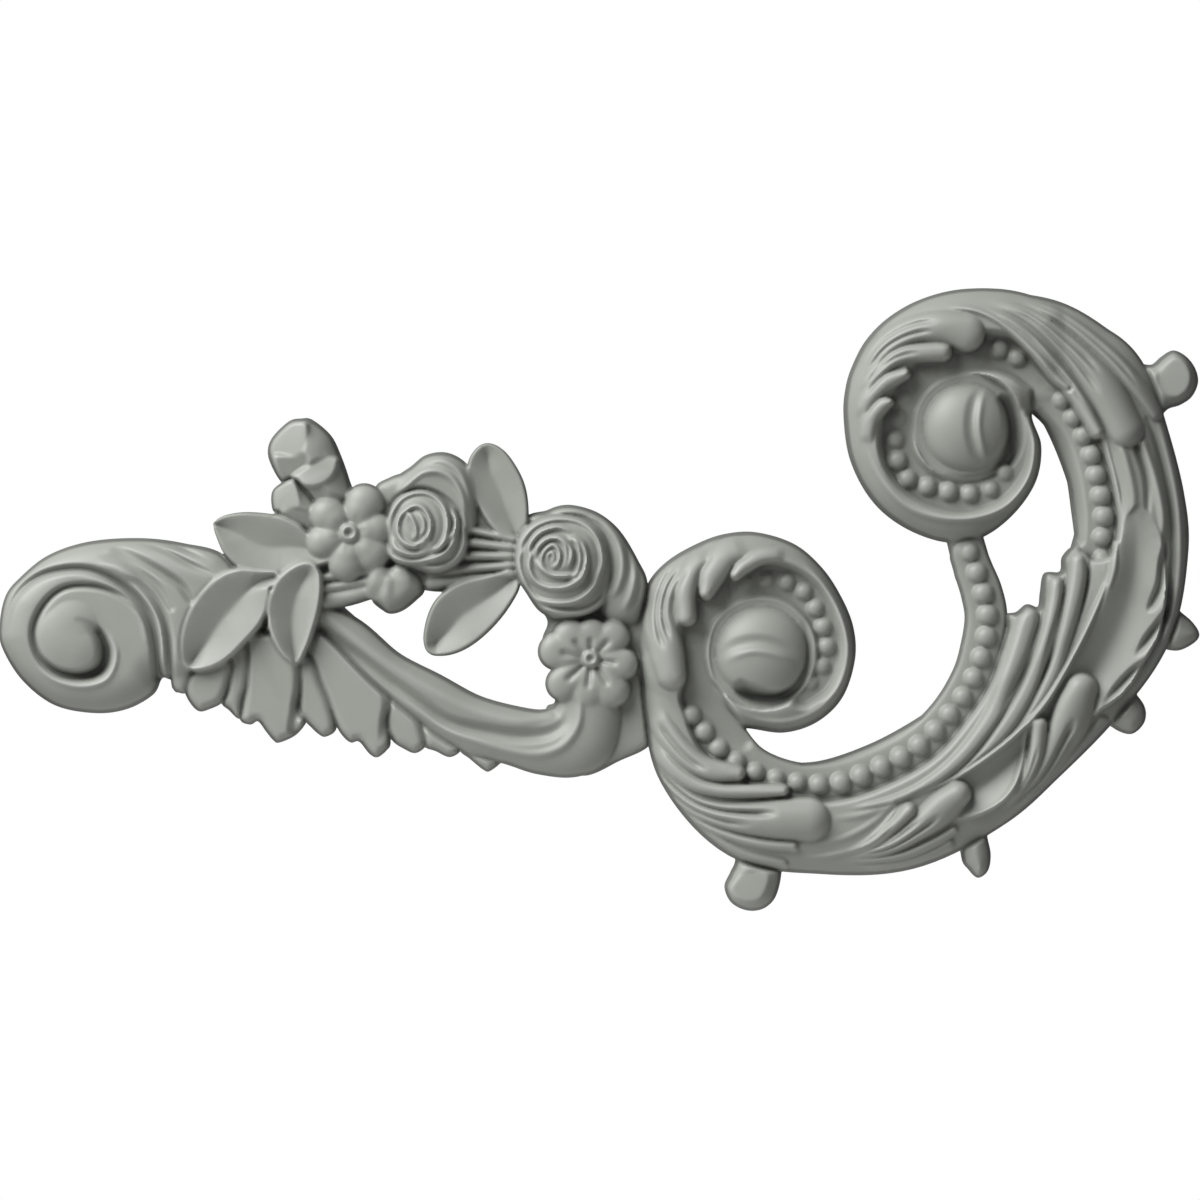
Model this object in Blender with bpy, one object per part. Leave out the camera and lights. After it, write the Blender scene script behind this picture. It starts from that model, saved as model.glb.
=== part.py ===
"""A carved scroll onlay: a leafy C-scroll with two volutes, beads, roses and a third volute.

It is one casting with a flat back, seen along +Y. The drawing below is in millimetres on the
face of the onlay: x to the right, z up, and height towards the viewer, which is -Y. The
carving is worked out as a height on a square grid. Each motif lays bars, lobes, leaves,
plates, balls and grooves on it, and a grid mesh then takes that height.
"""
import math

import bmesh
import bpy
import numpy as np

# Driving dimensions, in metres
LENGTH = 0.598
PROJECTION = 0.031
GRID_STEP = 0.0015
FACE_TARGET = 9600

# The drawing: its own length and highest point in millimetres, and the field it fills
DRAWN_LENGTH = 598.0
DRAWN_PROJECTION = 29.6
FIELD_LOW = (-303.0, -159.0)
FIELD_HIGH = (303.0, 159.0)
FAR = 50.0
REACH = 2.0
THINNEST = 0.05
STEEPEST_TAPER = 0.95
POINTS_PER_SPAN = 10
LINES_AT_ONCE = 8
BEAD_SEAT = 12.0
STATIONS = 36
SOFT_REACH = 0.9
FLATTEST_SLOPE = 0.25
GROOVE_DEPTH = 1.35
FLUTE_END = 0.15
LIP_TURN = 0.7
BEAD_SHARE = 0.94
BEAD_SQUASH = 0.8

# The paint: a satin grey green
PAINT_COLOUR = (0.36, 0.38, 0.34, 1.0)
PAINT_ROUGHNESS = 0.5


def smooth_line(rows):
    """A smooth curve through the rows, with every column carried along."""
    points = np.array(rows, float)
    ends = np.vstack([2 * points[0] - points[1], points, 2 * points[-1] - points[-2]])
    t = np.linspace(0, 1, POINTS_PER_SPAN, endpoint=False)[:, None]
    a, b, c, d = (ends[i:len(ends) - 3 + i, None, :] for i in range(4))
    curve = 2 * b + (c - a) * t + (2 * a - 5 * b + 4 * c - d) * t**2 + (3 * b - a - 3 * c + d) * t**3
    line = np.vstack([0.5 * curve.reshape(-1, points.shape[1]), points[-1:]])
    if line.shape[1] > 2:
        line[:, 2] = np.maximum(line[:, 2], THINNEST)
    return line


def even_steps(rows, count):
    """The smooth curve through the rows, cut at even lengths."""
    line = smooth_line(rows)
    run = np.hypot(*np.diff(line[:, :2], axis=0).T)
    travelled = np.concatenate([[0], np.cumsum(run)])
    places = np.linspace(0, travelled[-1], count)
    return np.stack([np.interp(places, travelled, column) for column in line.T], 1)


def between(left, right, values):
    """The line midway between two edges, with its half width and a value that runs along it."""
    a, b = even_steps(left, STATIONS), even_steps(right, STATIONS)
    half = np.maximum(np.hypot(*(a - b).T) / 2, THINNEST)
    value = np.interp(np.linspace(0, 1, STATIONS), np.linspace(0, 1, len(values)), values)
    return np.column_stack([(a + b) / 2, half, value])


def smooth_step(t):
    """0 below 0, 1 above 1 and an S between."""
    t = np.clip(t, 0, 1)
    return t * t * (3 - 2 * t)


def soft_max(a, b, width):
    """The larger of two heights, with a small fillet where they meet."""
    near = np.clip(1 - np.abs(a - b) / width, 0, 1)
    return np.maximum(a, b) + near * near * width / 4


def dome(v, power):
    """A round cross-section: 1 on the centre line, 0 at the edge, fuller as power grows."""
    return np.sqrt(np.clip(1 - np.clip(np.abs(v), 0, 1)**power, 0, 1))


class Near:
    """What the grid points near a line know about it."""

    def __init__(self, window, shape):
        self.window = window
        self.inside = np.full(shape, -FAR)
        self.along = np.zeros(shape)
        self.across = np.zeros(shape)
        self.value = np.zeros(shape)


class Relief:
    """A height and a signed distance to the outline, on a square grid."""

    def __init__(self, low, high, step):
        self.step = step
        self.x = np.arange(low[0], high[0] + step / 2, step)
        self.z = np.arange(low[1], high[1] + step / 2, step)
        self.height = np.zeros((len(self.z), len(self.x)))
        self.inside = np.full(self.height.shape, -FAR)
        self.ground = self.height.copy()

    def keep_ground(self):
        """Lobes that come later ride on the height as it is now."""
        self.ground = self.height.copy()

    def window(self, low, high):
        c0, c1 = np.searchsorted(self.x, [low[0], high[0]])
        r0, r1 = np.searchsorted(self.z, [low[1], high[1]])
        return slice(r0, r1), slice(c0, c1)

    def follow(self, rows):
        """Measures the grid against a curve of x, z, half width and a value."""
        line = rows if isinstance(rows, np.ndarray) else smooth_line(rows)
        wide = line[:, 2].max() + REACH
        window = self.window(line[:, :2].min(0) - wide, line[:, :2].max(0) + wide)
        x = self.x[window[1]]
        z = self.z[window[0]]
        near = Near(window, (len(z), len(x)))
        count = len(line) - 1
        for start in range(0, count, LINES_AT_ONCE):
            part = line[start:start + LINES_AT_ONCE + 1]
            wide = part[:, 2].max() + REACH
            i0, i1 = np.searchsorted(z, [part[:, 1].min() - wide, part[:, 1].max() + wide])
            j0, j1 = np.searchsorted(x, [part[:, 0].min() - wide, part[:, 0].max() + wide])
            if i0 < i1 and j0 < j1:
                self.measure(near, part, x, z, (slice(i0, i1), slice(j0, j1)), start, count)
        return near

    def measure(self, near, part, x, z, box, start, count):
        """Updates the grid points in box with the nearest of a few straight pieces."""
        a, b = part[:-1], part[1:]
        dx, dz, widening = (b - a)[:, :3].T
        run = np.hypot(dx, dz)
        px = x[None, box[1], None] - a[:, 0]
        pz = z[box[0], None, None] - a[:, 1]
        foot = (px * dx + pz * dz) / run
        side = (dx * pz - dz * px) / run
        taper = np.clip(widening / run, -STEEPEST_TAPER, STEEPEST_TAPER)
        t = np.clip((foot + np.abs(side) * taper / np.sqrt(1 - taper**2)) / run, 0, 1)
        distance = np.hypot(foot - t * run, side)
        half = a[:, 2] + t * widening
        inside = half - distance
        best = inside.argmax(-1)[..., None]

        def pick(values):
            return np.take_along_axis(values, best, -1)[..., 0]

        k = best[..., 0]
        t = pick(t)
        across = np.where(pick(side) >= 0, 1, -1) * pick(distance) / pick(half)
        value = part[k, 3] + t * (part[k + 1, 3] - part[k, 3])
        better = pick(inside) > near.inside[box]
        near.along[box] = np.where(better, (start + k + t) / count, near.along[box])
        near.across[box] = np.where(better, across, near.across[box])
        near.value[box] = np.where(better, value, near.value[box])
        near.inside[box] = np.where(better, pick(inside), near.inside[box])

    def put(self, near, z, edge=1.0, over=False, blend=0.5, outline=True, fade=0.0):
        """Lays a surface: over what is there, or only where it is higher."""
        window = near.window
        height = self.height[window]
        inside = self.inside[window]
        share = smooth_step(near.inside / edge + 0.5)
        if fade:
            share = share * smooth_step(near.along / fade)
        laid = height + (z - height) * share
        if not over:
            raised = np.maximum(height, soft_max(height, z, blend) * share + height * (1 - share))
            laid = np.where(share > 0, raised, height)
        if outline:
            bare = np.where(near.inside > inside, z, height)
            self.height[window] = np.where(inside > 0, laid, bare)
            self.inside[window] = np.maximum(inside, near.inside)
        else:
            self.height[window] = laid

    def bar(self, rows, drop=3.0, power=2.0, tilt=0.0, **how):
        """A rounded bar along rows of x, z, half width and crest height."""
        near = self.follow(rows)
        z = near.value - drop * (1 - dome(near.across, power)) + tilt * near.across
        self.put(near, z, **how)

    def lobe(self, rows, flutes=(), edge=1.2, power=2.2, fade=0.25, sink=1.8):
        """A lobe along rows of x, z, half width and lift above the ground it rides on."""
        near = self.follow(rows)
        z = self.ground[near.window] + (near.value + sink) * dome(near.across, power) - sink
        for where, wide, deep, start, end in flutes:
            fading = smooth_step((near.along - start) / FLUTE_END)
            fading = fading * smooth_step((end - near.along) / FLUTE_END)
            z = z - deep * fading * np.exp(-((near.across - where) / wide)**2)
        self.put(near, z, edge=edge, over=True, fade=fade, outline=False)

    def leaf(self, rows, rise=4.5, lip=0.14, rib=0.0, keel=0.04, tip=0.0, **how):
        """A leaf like a valley: a sharp midrib, two flanks rising from it and a round lip. The
        flanks flatten over the last share of its length, tip."""
        near = self.follow(rows)
        if tip:
            rise = rise * smooth_step((1 - near.along) / tip)
        off = near.across - rib
        v = np.where(off > 0, off / (1 - rib), -off / (1 + rib))
        v = np.sqrt(v**2 + keel**2) - keel
        flank = rise * np.minimum(v, 1 - lip) / (1 - lip)
        turned = np.clip((v - (1 - lip)) / lip, 0, 1)
        self.put(near, near.value + flank - LIP_TURN * rise * turned**2, over=True, **how)

    def line(self, rows, times=1.0):
        """A ridge, or a groove where it is negative, along x, z, half width and height."""
        near = self.follow(rows)
        profile = (1 - np.clip(near.across, -1, 1)**2)**2
        self.height[near.window] += np.where(near.inside > 0, times * near.value * profile, 0)

    def plate(self, points, edge_height, rise, width, power=2.0, lean=(0, 0), **how):
        """A body inside a closed smooth outline, rounded up from its edge over width, whose
        top leans by so much a millimetre to the right and up."""
        ring = np.array(points, float)
        line = smooth_line(np.vstack([ring[-1:], ring, ring[:2]]))[POINTS_PER_SPAN:-POINTS_PER_SPAN]
        window = self.window(line.min(0) - REACH, line.max(0) + REACH)
        x = self.x[window[1]]
        z = self.z[window[0]]
        near = Near(window, (len(z), len(x)))
        distance = np.full(near.inside.shape, FAR)
        crossed = np.zeros(distance.shape, bool)
        for (ax, az), (bx, bz) in zip(line[:-1], line[1:]):
            px, pz = x[None] - ax, z[:, None] - az
            dx, dz = bx - ax, bz - az
            t = np.clip((px * dx + pz * dz) / (dx * dx + dz * dz), 0, 1)
            distance = np.minimum(distance, np.hypot(px - t * dx, pz - t * dz))
            spans = (az > z[:, None]) != (bz > z[:, None])
            if spans.any():
                crossed ^= spans & (px < dx * pz / dz)
        near.inside = np.where(crossed, distance, -distance)
        t = np.clip(near.inside / width, 0, 1)
        middle = line.mean(0)
        leaning = lean[0] * (x[None] - middle[0]) + lean[1] * (z[:, None] - middle[1])
        self.put(near, edge_height + leaning + rise * dome(1 - t, power), **how)

    def ball(self, x, z, radius, base, squash=1.0, over=False, blend=0.3):
        near = self.follow([(x, z, radius, 0), (x + THINNEST, z, radius, 0)])
        height = base + squash * radius * dome(near.across, 2)
        self.put(near, height, edge=0.3, over=over, blend=blend)


def low_ground(r):
    """What joins the flowers, leaves and stems behind."""
    r.plate([(-45, 36), (-22, 44), (4, 38), (18, 18), (22, 2), (21.5, -30), (23, -45), (26, -60),
             (24.7, -72.3), (10, -80), (-8, -87.5), (-24, -80), (-27, -55), (-22.4, -50),
             (-24, -33), (-28.6, -20), (-26.4, -9.5), (-37, 4.6)], 6, 4, 6)
    r.bar([(-160, 12, 12, 13), (-146, 15, 14, 12), (-130, 14, 15, 10.5), (-105, 24, 16, 10.5),
           (-80, 28, 17, 9.5), (-62, 27, 15, 8.5), (-44, 24, 12, 9)], drop=4, power=3)
    r.bar([(186.4, 14, 9.4, 11), (181.2, 34, 8.8, 11)], drop=2, power=5)
    r.bar([(-105, 46, 9, 12), (-92, 24, 14, 9), (-86, 15, 10, 9), (-74, 13, 8.6, 9),
           (-60, 17, 10, 9)])
    r.bar([(-66, 44, 8, 9), (-56, 38, 8, 9), (-48, 34, 8, 9)])
    r.bar([(-150, 30, 18, 12), (-140, 40, 14, 13), (-120, 36, 16, 13), (-106, 40, 12, 13)])
    r.bar([(-205, -6, 22, 16), (-182, -12, 26, 16), (-156, -16, 26, 15), (-134, -30, 24, 13),
           (-105, -50, 17, 11), (-80, -60, 13, 10), (-60, -67, 9, 9)], drop=4)


def nubs(r):
    """Five cut twigs on the outer side of the big scroll, each with its cut face."""
    stubs = [
        [(66, -120), (67.6, -129.6), (65, -136), (62.2, -143), (65.4, -150.6), (73, -154.6),
         (81, -154), (87, -149), (90, -140), (90.6, -130), (88, -120)],
        [(180, -112), (180.6, -128.6), (184, -134.4), (188.5, -138.4), (193.5, -135), (195, -127),
         (193.3, -118), (192, -108)],
        [(244, -52), (255, -62.8), (264.5, -66.8), (271, -62), (272.3, -55), (268.5, -48),
         (258, -38)],
        [(272, -20), (281, -24), (289, -25), (297, -20.8), (299, -16.5), (295.5, -10.8), (290, -6),
         (280, 2)],
        [(258, 108), (268, 117), (275.4, 117.6), (280.4, 121.6), (286, 124.6), (292.4, 121.6),
         (297, 115.6), (298.4, 108.6), (295.4, 101.6), (289.6, 97.4), (283, 95), (276, 88),
         (262, 88)],
    ]
    for outline in stubs:
        r.plate(outline, 4, 10, 9)
    cut_faces = [
        ([(72, -136), (67, -139), (64.5, -144), (68, -148.5), (75, -150.5), (81, -148),
          (84.5, -139), (82, -135)], 13.4, (0.10, -0.05)),
        ([(280.6, 117), (286, 121.4), (291.6, 118.4), (294.6, 111.4), (292.6, 104), (287, 100.4),
          (281, 103), (277.6, 110)], 13.6, (0.12, -0.04)),
    ]
    for outline, height, lean in cut_faces:
        r.plate(outline, height, 0.6, 3, lean=lean, over=True, edge=2.4)


def left_volute(r):
    """The plain snail at the left end, with the flutes of its neck."""
    r.plate([(-299.5, -13), (-296.5, 2), (-289, 11.5), (-275, 22.5), (-255, 29.2), (-230, 31),
             (-208, 28.5), (-186, 21.5), (-165, -5), (-180, -32), (-206, -40), (-214, -39.6),
             (-218.6, -39), (-223, -47), (-236, -54.3), (-252, -56.3), (-272, -52.3), (-288, -40),
             (-298, -24)], 4, 17, 17, power=2.1, over=True)
    outer_groove = [(-296, -18, 2, 0), (-292.5, -3, 2.4, -1.5), (-286, 6.8, 2.8, -2.8),
                    (-275, 13.2, 3, -3.4), (-260, 15.6, 3, -3.4), (-247, 13, 3, -3.4),
                    (-234, 5, 3.2, -3.8), (-225, -6, 3.4, -4), (-221, -20, 3.6, -4.2),
                    (-220, -38, 3.4, -4)]
    outer_lip = [(-262, 11.6, 2, 0), (-248, 9, 2, 0.8), (-236, 1.5, 2, 1), (-228, -9, 2, 1),
                 (-225, -20, 2, 0.6)]
    inner_groove = [(-224, -14, 1.2, 0), (-229, -5, 2, -1.6), (-239, 3, 2.2, -2.4),
                    (-252, 7, 2.2, -2.7), (-266, 6, 2.2, -2.8), (-276, -2, 2.3, -2.9),
                    (-281.5, -15, 2.4, -3.1), (-278.5, -28, 2.6, -3.4), (-269, -36, 3.4, -5),
                    (-257, -37.6, 4, -6), (-248.5, -34, 5, -7.5), (-246, -26, 5, -7.5),
                    (-249.5, -16.5, 4, -5), (-256, -11.2, 2.6, -2.5), (-261, -9.5, 2, 0)]
    eye_lip = [(-280, -33, 1.6, 0), (-270, -40, 1.8, 1), (-257, -43, 1.8, 1.4),
               (-244.5, -39, 1.8, 1.4), (-240, -27, 1.8, 1.2), (-244, -16, 1.6, 0)]
    neck_flutes = [
        [(-250, 19, 3, 0), (-238, 15, 3.4, 1.4), (-227, 5, 3.4, 1.6), (-219, -8, 3, 1.6),
         (-216.5, -22, 2.6, 1.4), (-216.5, -36, 2, 0)],
        [(-238, 12, 2.6, 0), (-228, 7, 3.2, -2.4), (-219, -4, 3.4, -3), (-214.8, -18, 3.2, -3),
         (-214, -38, 3, -3)],
        [(-250, 22, 3, 0), (-236, 19, 3, -1.5), (-222, 9, 3, -1.8), (-213, -4, 2.5, -1)],
        [(-244, 25, 3, 0), (-236, 23, 3.6, -1.8), (-221, 15.5, 3.6, -2.6), (-209, 8, 3.2, -2.6),
         (-203, 0, 3, -2)],
        [(-230, 29, 1.5, 0), (-216, 24.2, 2, -2), (-203, 17.5, 2.2, -2.4), (-190, 12, 1.6, 0)],
        [(-222, 29, 1.2, 0), (-206, 24.6, 1.8, -2.2), (-192, 19, 1.4, 0)],
    ]
    for rows in [outer_groove, inner_groove] + neck_flutes:
        r.line(rows, times=GROOVE_DEPTH)
    for rows in (outer_lip, eye_lip):
        r.line(rows)
    r.bar([(-262, -13, 13, 22.5), (-264.5, -19, 15, 23.5), (-261, -23, 13, 23.5)], drop=7, edge=4,
          outline=False, blend=6)


def fringe(r):
    """Acanthus feathers hanging from the lower stem, the right ones under the left ones."""
    feathers = [
        ([(-76, -58), (-62, -64), (-50, -72), (-48, -79), (-54.5, -85), (-58, -84.6), (-65, -79),
          (-69.6, -75.4), (-72, -69)], 7, 4),
        ([(-94, -52), (-84, -54), (-73, -62), (-69.5, -70), (-69.5, -75.2), (-75, -78.2),
          (-82, -75.2), (-87.4, -73), (-90, -66)], 7, 5),
        ([(-112, -36), (-98, -46), (-91, -57), (-87.5, -66), (-87, -72.6), (-92, -76.2),
          (-98, -73.9), (-103.5, -70), (-107, -62)], 7.5, 5),
        ([(-146, -24), (-134, -12), (-116, -28), (-107, -41), (-104, -51), (-106, -60),
          (-104.5, -71), (-106.5, -75), (-111, -78.3), (-115, -76.4), (-120, -70.5), (-124, -71),
          (-127.5, -68.5), (-131, -63.4), (-136, -52)], 8, 6),
        ([(-154, -24), (-144, -28), (-138, -42), (-134, -52), (-131.6, -63.8), (-136.5, -68),
          (-140.5, -66.6), (-147, -60.6), (-152, -58), (-154, -48)], 7, 5),
        ([(-178, -18), (-162, -16), (-151, -26), (-149, -42), (-150, -52), (-148.4, -57),
          (-146.8, -61), (-152, -67.4), (-160, -71), (-163, -69.6), (-166.5, -65.4),
          (-170.5, -60.4), (-174.5, -62), (-179.6, -59), (-178, -46)], 8, 6),
        ([(-187, -18), (-176, -18), (-175, -40), (-177.5, -50), (-179.6, -59), (-185, -54.8),
          (-188.6, -51), (-186.5, -42)], 7.5, 4.6),
        ([(-198, -12), (-190, -12), (-183.5, -30), (-184, -40), (-188, -50.4), (-195.5, -54.6),
          (-200, -55.3), (-204, -51.7), (-207, -45.4), (-206, -38), (-201, -30)], 7.5, 6),
    ]
    for outline, edge_height, rise in feathers:
        r.plate(outline, edge_height - 1.5, rise + 2, 4.8, lean=(0.1, 0.03), over=True, edge=2)
    r.plate([(-217, 0), (-206, 2), (-203, -30), (-206, -45), (-210, -46), (-212.4, -44.6),
             (-214, -38)], 10, 5, 4, lean=(0.1, 0.12), blend=3)
    shades = [
        [(-149.4, -34, 2.6, 0), (-149.6, -44, 3, -1.6), (-151, -54, 3.6, -3),
         (-152.6, -64, 3.6, -3)],
        [(-108, -44, 2.6, 0), (-106, -54, 3, -1.4), (-107.6, -64, 3, -1.6), (-109, -72, 2.6, 0)],
    ]
    for rows in shades:
        r.line(rows)


def lower_stem(r):
    """The stem from the leaves down to its round bend under the open flower."""
    r.bar([(-142, -5, 6, 13), (-124, -17.8, 9, 14), (-105.7, -34.9, 10.2, 15),
           (-85.4, -48.5, 12.8, 16), (-64.8, -61.2, 14.4, 17), (-42, -67.8, 14.8, 18),
           (-27, -70.8, 16.4, 18.5), (-12, -69, 18.4, 19), (-6.6, -58, 17, 19), (-6, -46, 15, 19)],
          drop=11, power=2.3, over=True, fade=0.05, edge=2)
    r.line([(-138, -6, 3, 1), (-118, -22, 4, 1.2), (-98, -36, 4.5, 1.2), (-80, -46.5, 5, 1.5),
            (-60, -55, 5.5, 1.6), (-40, -59.5, 5, 1.6), (-26, -57, 4, 1)])
    r.line([(-139, -12, 2, -1), (-120, -28, 4, -3), (-105, -40, 4.6, -3.8), (-88, -52, 5, -4.2),
            (-74, -60.6, 5, -4.2), (-55, -65.4, 5, -3.6), (-38, -67.6, 5, -3.2),
            (-25, -66, 4.6, -2.6), (-17, -60, 3.6, -1.2), (-15, -50, 2.4, 0)])
    r.line([(-104, -42, 2, 0), (-92, -52, 2.4, 1.2), (-76, -64, 2.6, 1.6), (-60, -70.4, 2.8, 1.6),
            (-44, -75.2, 3, 1.6), (-30, -76.6, 3.2, 1.6), (-18, -72, 3.2, 1.6), (-11, -62, 3, 1.6),
            (-9.5, -50, 2.4, 1)])


def arm(r):
    """The big C of the scroll."""
    r.bar([(28, -30, 8, 17), (38, -55, 16, 17), (50, -81, 22, 18), (77, -104, 26.6, 19),
           (110, -108.5, 28, 19), (148, -102, 33, 20), (182.6, -83.8, 34, 20), (206, -64, 33.4, 21),
           (233, -37, 33, 21), (255, -8, 31.8, 21), (264.6, 25, 28.8, 21), (264.4, 48, 27.4, 21),
           (257, 76, 27.8, 21), (246.8, 102, 29, 21), (236.6, 112.4, 28.2, 21),
           (220.6, 123.4, 26.8, 21), (200, 128, 26, 20)], drop=15, power=2.1, over=True)


def bead_strips(r):
    """The two flat strips that carry the long rows of beads."""
    strips = [
        [(50, -48, 10, 12), (60, -67, 12, 12), (76, -82, 9.6, 12), (98, -90.4, 9.6, 12),
         (120, -89.6, 9.8, 12), (142.4, -81.6, 9.8, 12), (160.6, -70.6, 9.8, 12),
         (174.6, -55.6, 9.2, 12), (185.6, -38, 9.8, 12), (190.6, -22, 10.2, 12),
         (192.6, -8, 10.4, 12), (190.4, 4, 10.2, 12), (186.8, 14, 9.6, 12), (184, 22, 9.2, 12)],
        [(224, 100, 10, 12), (235.4, 86, 10.2, 12), (242.6, 66, 10.4, 12), (246.6, 44, 11, 12),
         (247.4, 30, 10, 12)],
    ]
    for rows in strips:
        r.bar(rows, drop=3, power=5, over=True, edge=2.4)
    r.line([(219, 92, 5, -2), (227.6, 78, 7, -7), (233, 62, 7, -7), (236.6, 44, 6, -6),
            (238.4, 30, 4, -3)])


def eye(r, x, z, radius, crease, hook):
    """The round end of a curl: a low disc, a dome on it, its crease and the hooked groove."""
    r.ball(x, z, radius + 5, 14.6, squash=0.05, over=True)
    r.ball(x, z, radius, 13, squash=0.6, over=True)
    near = r.follow([(x, z, radius + 5, 0), (x + THINNEST, z, radius + 5, 0)])
    ring = np.exp(-((near.inside - 1.4) / 0.9)**2) + 0.7 * np.exp(-((near.inside - 4) / 0.9)**2)
    r.height[near.window] += np.where(near.inside > 0, 0.8 * ring, 0)
    for rows in crease + hook:
        r.line(rows)


def curl_bodies(r):
    """The two round curls, which grow out of the ends of the big C."""
    r.plate([(121.7, 92), (122.9, 107), (126.7, 118.6), (133.3, 130.4), (144, 141), (159, 149.6),
             (178, 154.8), (200, 155.2), (217, 151.4), (231, 144), (235, 120), (224, 102),
             (215.5, 93), (220.2, 77), (217.4, 59), (206, 42.5), (190, 31), (172, 29),
             (151.4, 36.6), (135.6, 50), (125, 70)], 4, 18, 18, blend=6)
    r.plate([(24.5, 9.4), (34, 19.8), (48, 28), (62, 33), (78, 33.9), (97, 28), (111, 16),
             (120.8, 1), (126.6, -14), (127.2, -30), (121, -48.5), (108.4, -60.7), (92, -66),
             (75, -64), (58, -62), (42, -58), (30, -50), (22, -42), (19, -30), (19, -15), (22, -2)],
            4, 18, 18, blend=6)


def upper_curl(r):
    """The sunk channel for the beads of the upper curl, its eye and its rim."""
    r.bar([(222, 108, 8, 13), (208, 119, 9, 12), (192, 123, 9.6, 13), (172, 118, 9, 14.4),
           (157, 105, 8.6, 14.4), (148.5, 88, 8.6, 13.2), (149.5, 71, 8.6, 12), (160, 58, 8.6, 12),
           (178, 51.5, 8.6, 12), (195, 55, 8, 12), (206, 66, 6.5, 13), (210.5, 80, 4.6, 14.4),
           (209, 92, 3.4, 16)], drop=0, over=True, edge=5)
    eye(r, 182.6, 86, 22, [[(190, 107, 2, 0), (185.6, 98, 4, -1.4), (184, 86, 4.4, -1.6),
                            (186, 75, 4, -1.2), (190, 68, 2, 0)],
                           [(192, 106, 2, 0), (188.8, 97, 2.6, 1), (187.6, 86, 2.6, 1.1),
                            (190, 75, 2.6, 0.8), (193, 69, 2, 0)]],
        [[(198, 101, 3, 0), (202.6, 97, 5, -6), (205.4, 88, 6, -9.5), (205.4, 78, 6, -9.5),
          (201.6, 69, 5, -7), (193.4, 62.6, 3.6, -3.4), (182, 60, 3, -2), (171, 62, 2.4, 0)]])
    r.line([(131, 78, 2, 0), (140, 60, 2.6, 1.6), (152, 47, 2.8, 2.2), (168, 41, 2.8, 2.4),
            (186, 41, 2.8, 2.4), (202, 46.5, 2.8, 2.4), (213, 60, 2.6, 2.4), (216, 76, 2.4, 2.4),
            (213.5, 90, 2.2, 1.4)])


def lower_curl(r):
    """The channel, eye and rim of the lower curl, made as the upper one's are."""
    r.bar([(72, -69.6, 3.6, 9.6), (60, -58.6, 6, 10.4), (49.6, -43, 7.4, 11.6),
           (48, -22, 8.6, 13.4), (53, -5, 9, 14.4), (64, 5, 9, 14.4), (80, 9, 9.4, 13),
           (94, 6, 10, 12), (106, -5, 10, 12), (112, -22, 9, 12), (109, -38, 8, 12.5),
           (101, -47, 6, 13.4)], drop=0, over=True, edge=5)
    eye(r, 80.5, -26, 23, [[(57, -29, 2, 0), (66, -23, 4, -1.2), (78, -20.4, 4.4, -1.6),
                            (91, -23.4, 4, -1.2), (101, -30, 2, 0)],
                           [(60, -32, 2, 0), (68, -27.4, 2.6, 0.9), (78, -25.2, 2.6, 1.1),
                            (90, -28, 2.6, 0.9), (98, -33, 2, 0)]],
        [[(68, -40, 3, 0), (72.6, -45, 5.4, -7), (80.6, -48, 6, -8.6), (89.4, -48.2, 5, -6.4),
          (97, -44, 3.8, -4), (102, -35, 3, -2.6), (103.4, -22, 2.6, -2), (101, -9, 2, 0)]])
    r.line([(100, 20, 2, 0), (110, 9, 2.6, 1.6), (118.5, -6, 2.8, 2.4), (123.5, -23, 2.8, 2.4),
            (121, -40, 2.8, 2.4), (110, -54, 2.8, 2.4), (95, -60.5, 2.8, 2.2), (80, -60, 2.4, 1.6),
            (66, -54, 2.2, 1.4), (57, -43, 2, 1.4), (53.6, -28, 2, 1.4), (56, -13, 2, 1.2),
            (63, -4, 1.8, 0)])


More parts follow.
